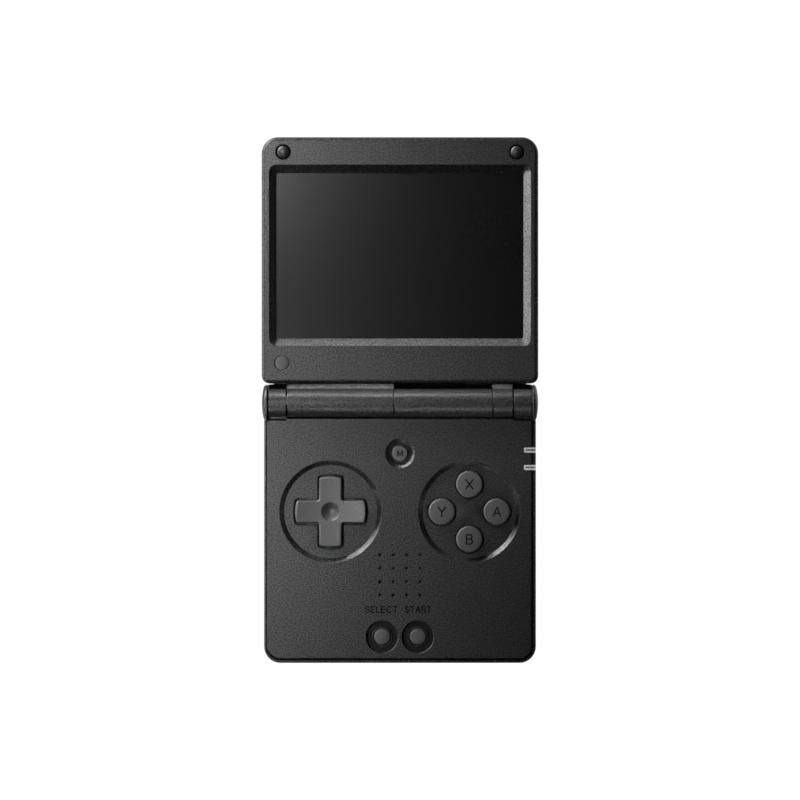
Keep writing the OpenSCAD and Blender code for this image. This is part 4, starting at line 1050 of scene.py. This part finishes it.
def paper(name):
    """White paper that glows: the open floor reads pure white, and painted shade from its ambient occlusion darkens
    deep gaps and the contact line; seen from below it is clear.
    """
    mat = bpy.data.materials.new(name)
    mat.use_nodes = True
    nt = mat.node_tree
    nt.nodes.clear()
    out = new(nt, "ShaderNodeOutputMaterial")
    co = new(nt, "ShaderNodeTexCoord").outputs["Object"]
    # Painted shade: the floor's glow is scaled by its ambient occlusion, since no lamp lights or shades it.
    ao = new(nt, "ShaderNodeAmbientOcclusion")
    ao.samples = 24
    ao.inputs["Distance"].default_value = 0.03
    open_sky = span(nt, ao.outputs["AO"], 0.0, 1.0, 0.10, 0.44)
    fibre = span(nt, noise(nt, co, 60.0, 3.0, 0.5), 0.995, 1.005, 0.3, 0.7)
    tone = new(nt, "ShaderNodeMath", operation="MULTIPLY")
    nt.links.new(open_sky, tone.inputs[0])
    nt.links.new(fibre, tone.inputs[1])
    seen = new(nt, "ShaderNodeLightPath")
    level = new(nt, "ShaderNodeMapRange")
    nt.links.new(seen.outputs["Is Camera Ray"], level.inputs["Value"])
    level.inputs["To Min"].default_value = 0.16
    level.inputs["To Max"].default_value = 1.02
    glow = new(nt, "ShaderNodeMath", operation="MULTIPLY")
    nt.links.new(tone.outputs[0], glow.inputs[0])
    nt.links.new(level.outputs[0], glow.inputs[1])
    em = new(nt, "ShaderNodeEmission")
    nt.links.new(glow.outputs[0], em.inputs["Strength"])
    clear = new(nt, "ShaderNodeBsdfTransparent")
    back = new(nt, "ShaderNodeNewGeometry").outputs["Backfacing"]
    gate = new(nt, "ShaderNodeMath", operation="MAXIMUM")
    nt.links.new(back, gate.inputs[0])
    nt.links.new(seen.outputs["Is Shadow Ray"], gate.inputs[1])
    mix = new(nt, "ShaderNodeMixShader")
    nt.links.new(gate.outputs[0], mix.inputs["Fac"])
    nt.links.new(em.outputs[0], mix.inputs[1])
    nt.links.new(clear.outputs[0], mix.inputs[2])
    nt.links.new(mix.outputs[0], out.inputs["Surface"])
    return mat


me = bpy.data.meshes.new("floor")
S = 3.0
me.from_pydata([(-S, -S, -0.0002), (S, -S, -0.0002), (S, S, -0.0002), (-S, S, -0.0002)], [], [(0, 1, 2, 3)])
floor = bpy.data.objects.new("floor", me)
me.materials.append(paper("floor_paper"))
scene.collection.objects.link(floor)

world = bpy.data.worlds.new("studio")
scene.world = world
world.use_nodes = True
wn = world.node_tree
bg = wn.nodes["Background"]
bg.inputs["Color"].default_value = (0.9, 0.9, 0.9, 1)
bg.inputs["Strength"].default_value = 0.006
lp = wn.nodes.new("ShaderNodeLightPath")
white = wn.nodes.new("ShaderNodeBackground")
white.inputs["Color"].default_value = (1, 1, 1, 1)
mix = wn.nodes.new("ShaderNodeMixShader")
wn.links.new(lp.outputs["Is Camera Ray"], mix.inputs["Fac"])
wn.links.new(bg.outputs[0], mix.inputs[1])
wn.links.new(white.outputs[0], mix.inputs[2])
wn.links.new(mix.outputs[0], wn.nodes["World Output"].inputs["Surface"])


def softbox(name, loc, aim, size, power, spread=180.0, size_y=None, colour=(1, 1, 1)):
    d = bpy.data.lights.new(name, "AREA")
    d.shape = "RECTANGLE"
    d.size, d.size_y = size, size_y or size
    d.energy = power
    d.spread = math.radians(spread)
    d.color = colour
    o = bpy.data.objects.new(name, d)
    o.location = loc
    o.rotation_euler = (Vector(aim) - Vector(loc)).to_track_quat("-Z", "Y").to_euler()
    o.visible_camera = False
    scene.collection.objects.link(o)
    return o


# gridded boxes over the left edge give the fall-off across the flats, far soft boxes rake in from the left and the top,
# narrow beams catch the right bevel, the near bevel, and the barrels, and two soft boxes light the underside
softbox("over_lid", (-0.11, 0.12, 0.36), (-0.075, 0.09, 0.0), 0.05, 0.0275, 46, 0.08)
softbox("over_base", (-0.11, -0.04, 0.36), (-0.075, -0.03, 0.0), 0.05, 0.0152, 46, 0.08)
softbox("over_foot", (-0.11, -0.12, 0.36), (-0.075, -0.09, 0.0), 0.05, 0.0034, 46, 0.08)
softbox("over_wide", (-0.12, 0.0, 0.50), (-0.04, 0.0, 0.0), 0.06, 0.0018, 80, 0.25)
softbox("upper_left", (-0.55, 0.60, 0.25), (0.0, 0.0, 0.01), 0.40, 5.5, 180, 0.30)
softbox("left_mid", (-0.62, 0.25, 0.13), (0.0, 0.0, 0.01), 0.30, 1.5, 180, 0.20)
softbox("left_low", (-0.60, -0.02, 0.09), (0.0, 0.0, 0.01), 0.40, 1.0, 180, 0.14)
softbox("top_mid", (-0.25, 0.62, 0.13), (0.0, 0.0, 0.01), 0.30, 1.3, 180, 0.20)
softbox("under_left", (-0.40, -0.35, -0.50), (0.0, 0.0, 0.01), 0.50, 7.0, 180)
softbox("under_right", (0.50, 0.30, -0.35), (0.0, 0.0, 0.01), 0.40, 4.0, 180)
softbox("beam_top", (-0.09, 0.42, 0.215), (-0.024, 0.0165, 0.0145), 0.10, 0.0020, 9, 0.035)
softbox("beam_barrel", (-0.07, 0.20, 0.084), (-0.006, 0.0015, 0.0195), 0.16, 0.0022, 6, 0.008)
softbox("beam_left", (-0.45, 0.044, 0.235), (0.040, 0.044, 0.0145), 0.13, 0.0021, 5, 0.02)
softbox("beam_hinge", (-0.10, -0.28, 0.235), (0.0, -0.001, 0.019), 0.22, 0.0060, 8, 0.02)

scene.view_settings.view_transform = "Standard"
scene.view_settings.look = "None"

bpy.context.view_layer.update()
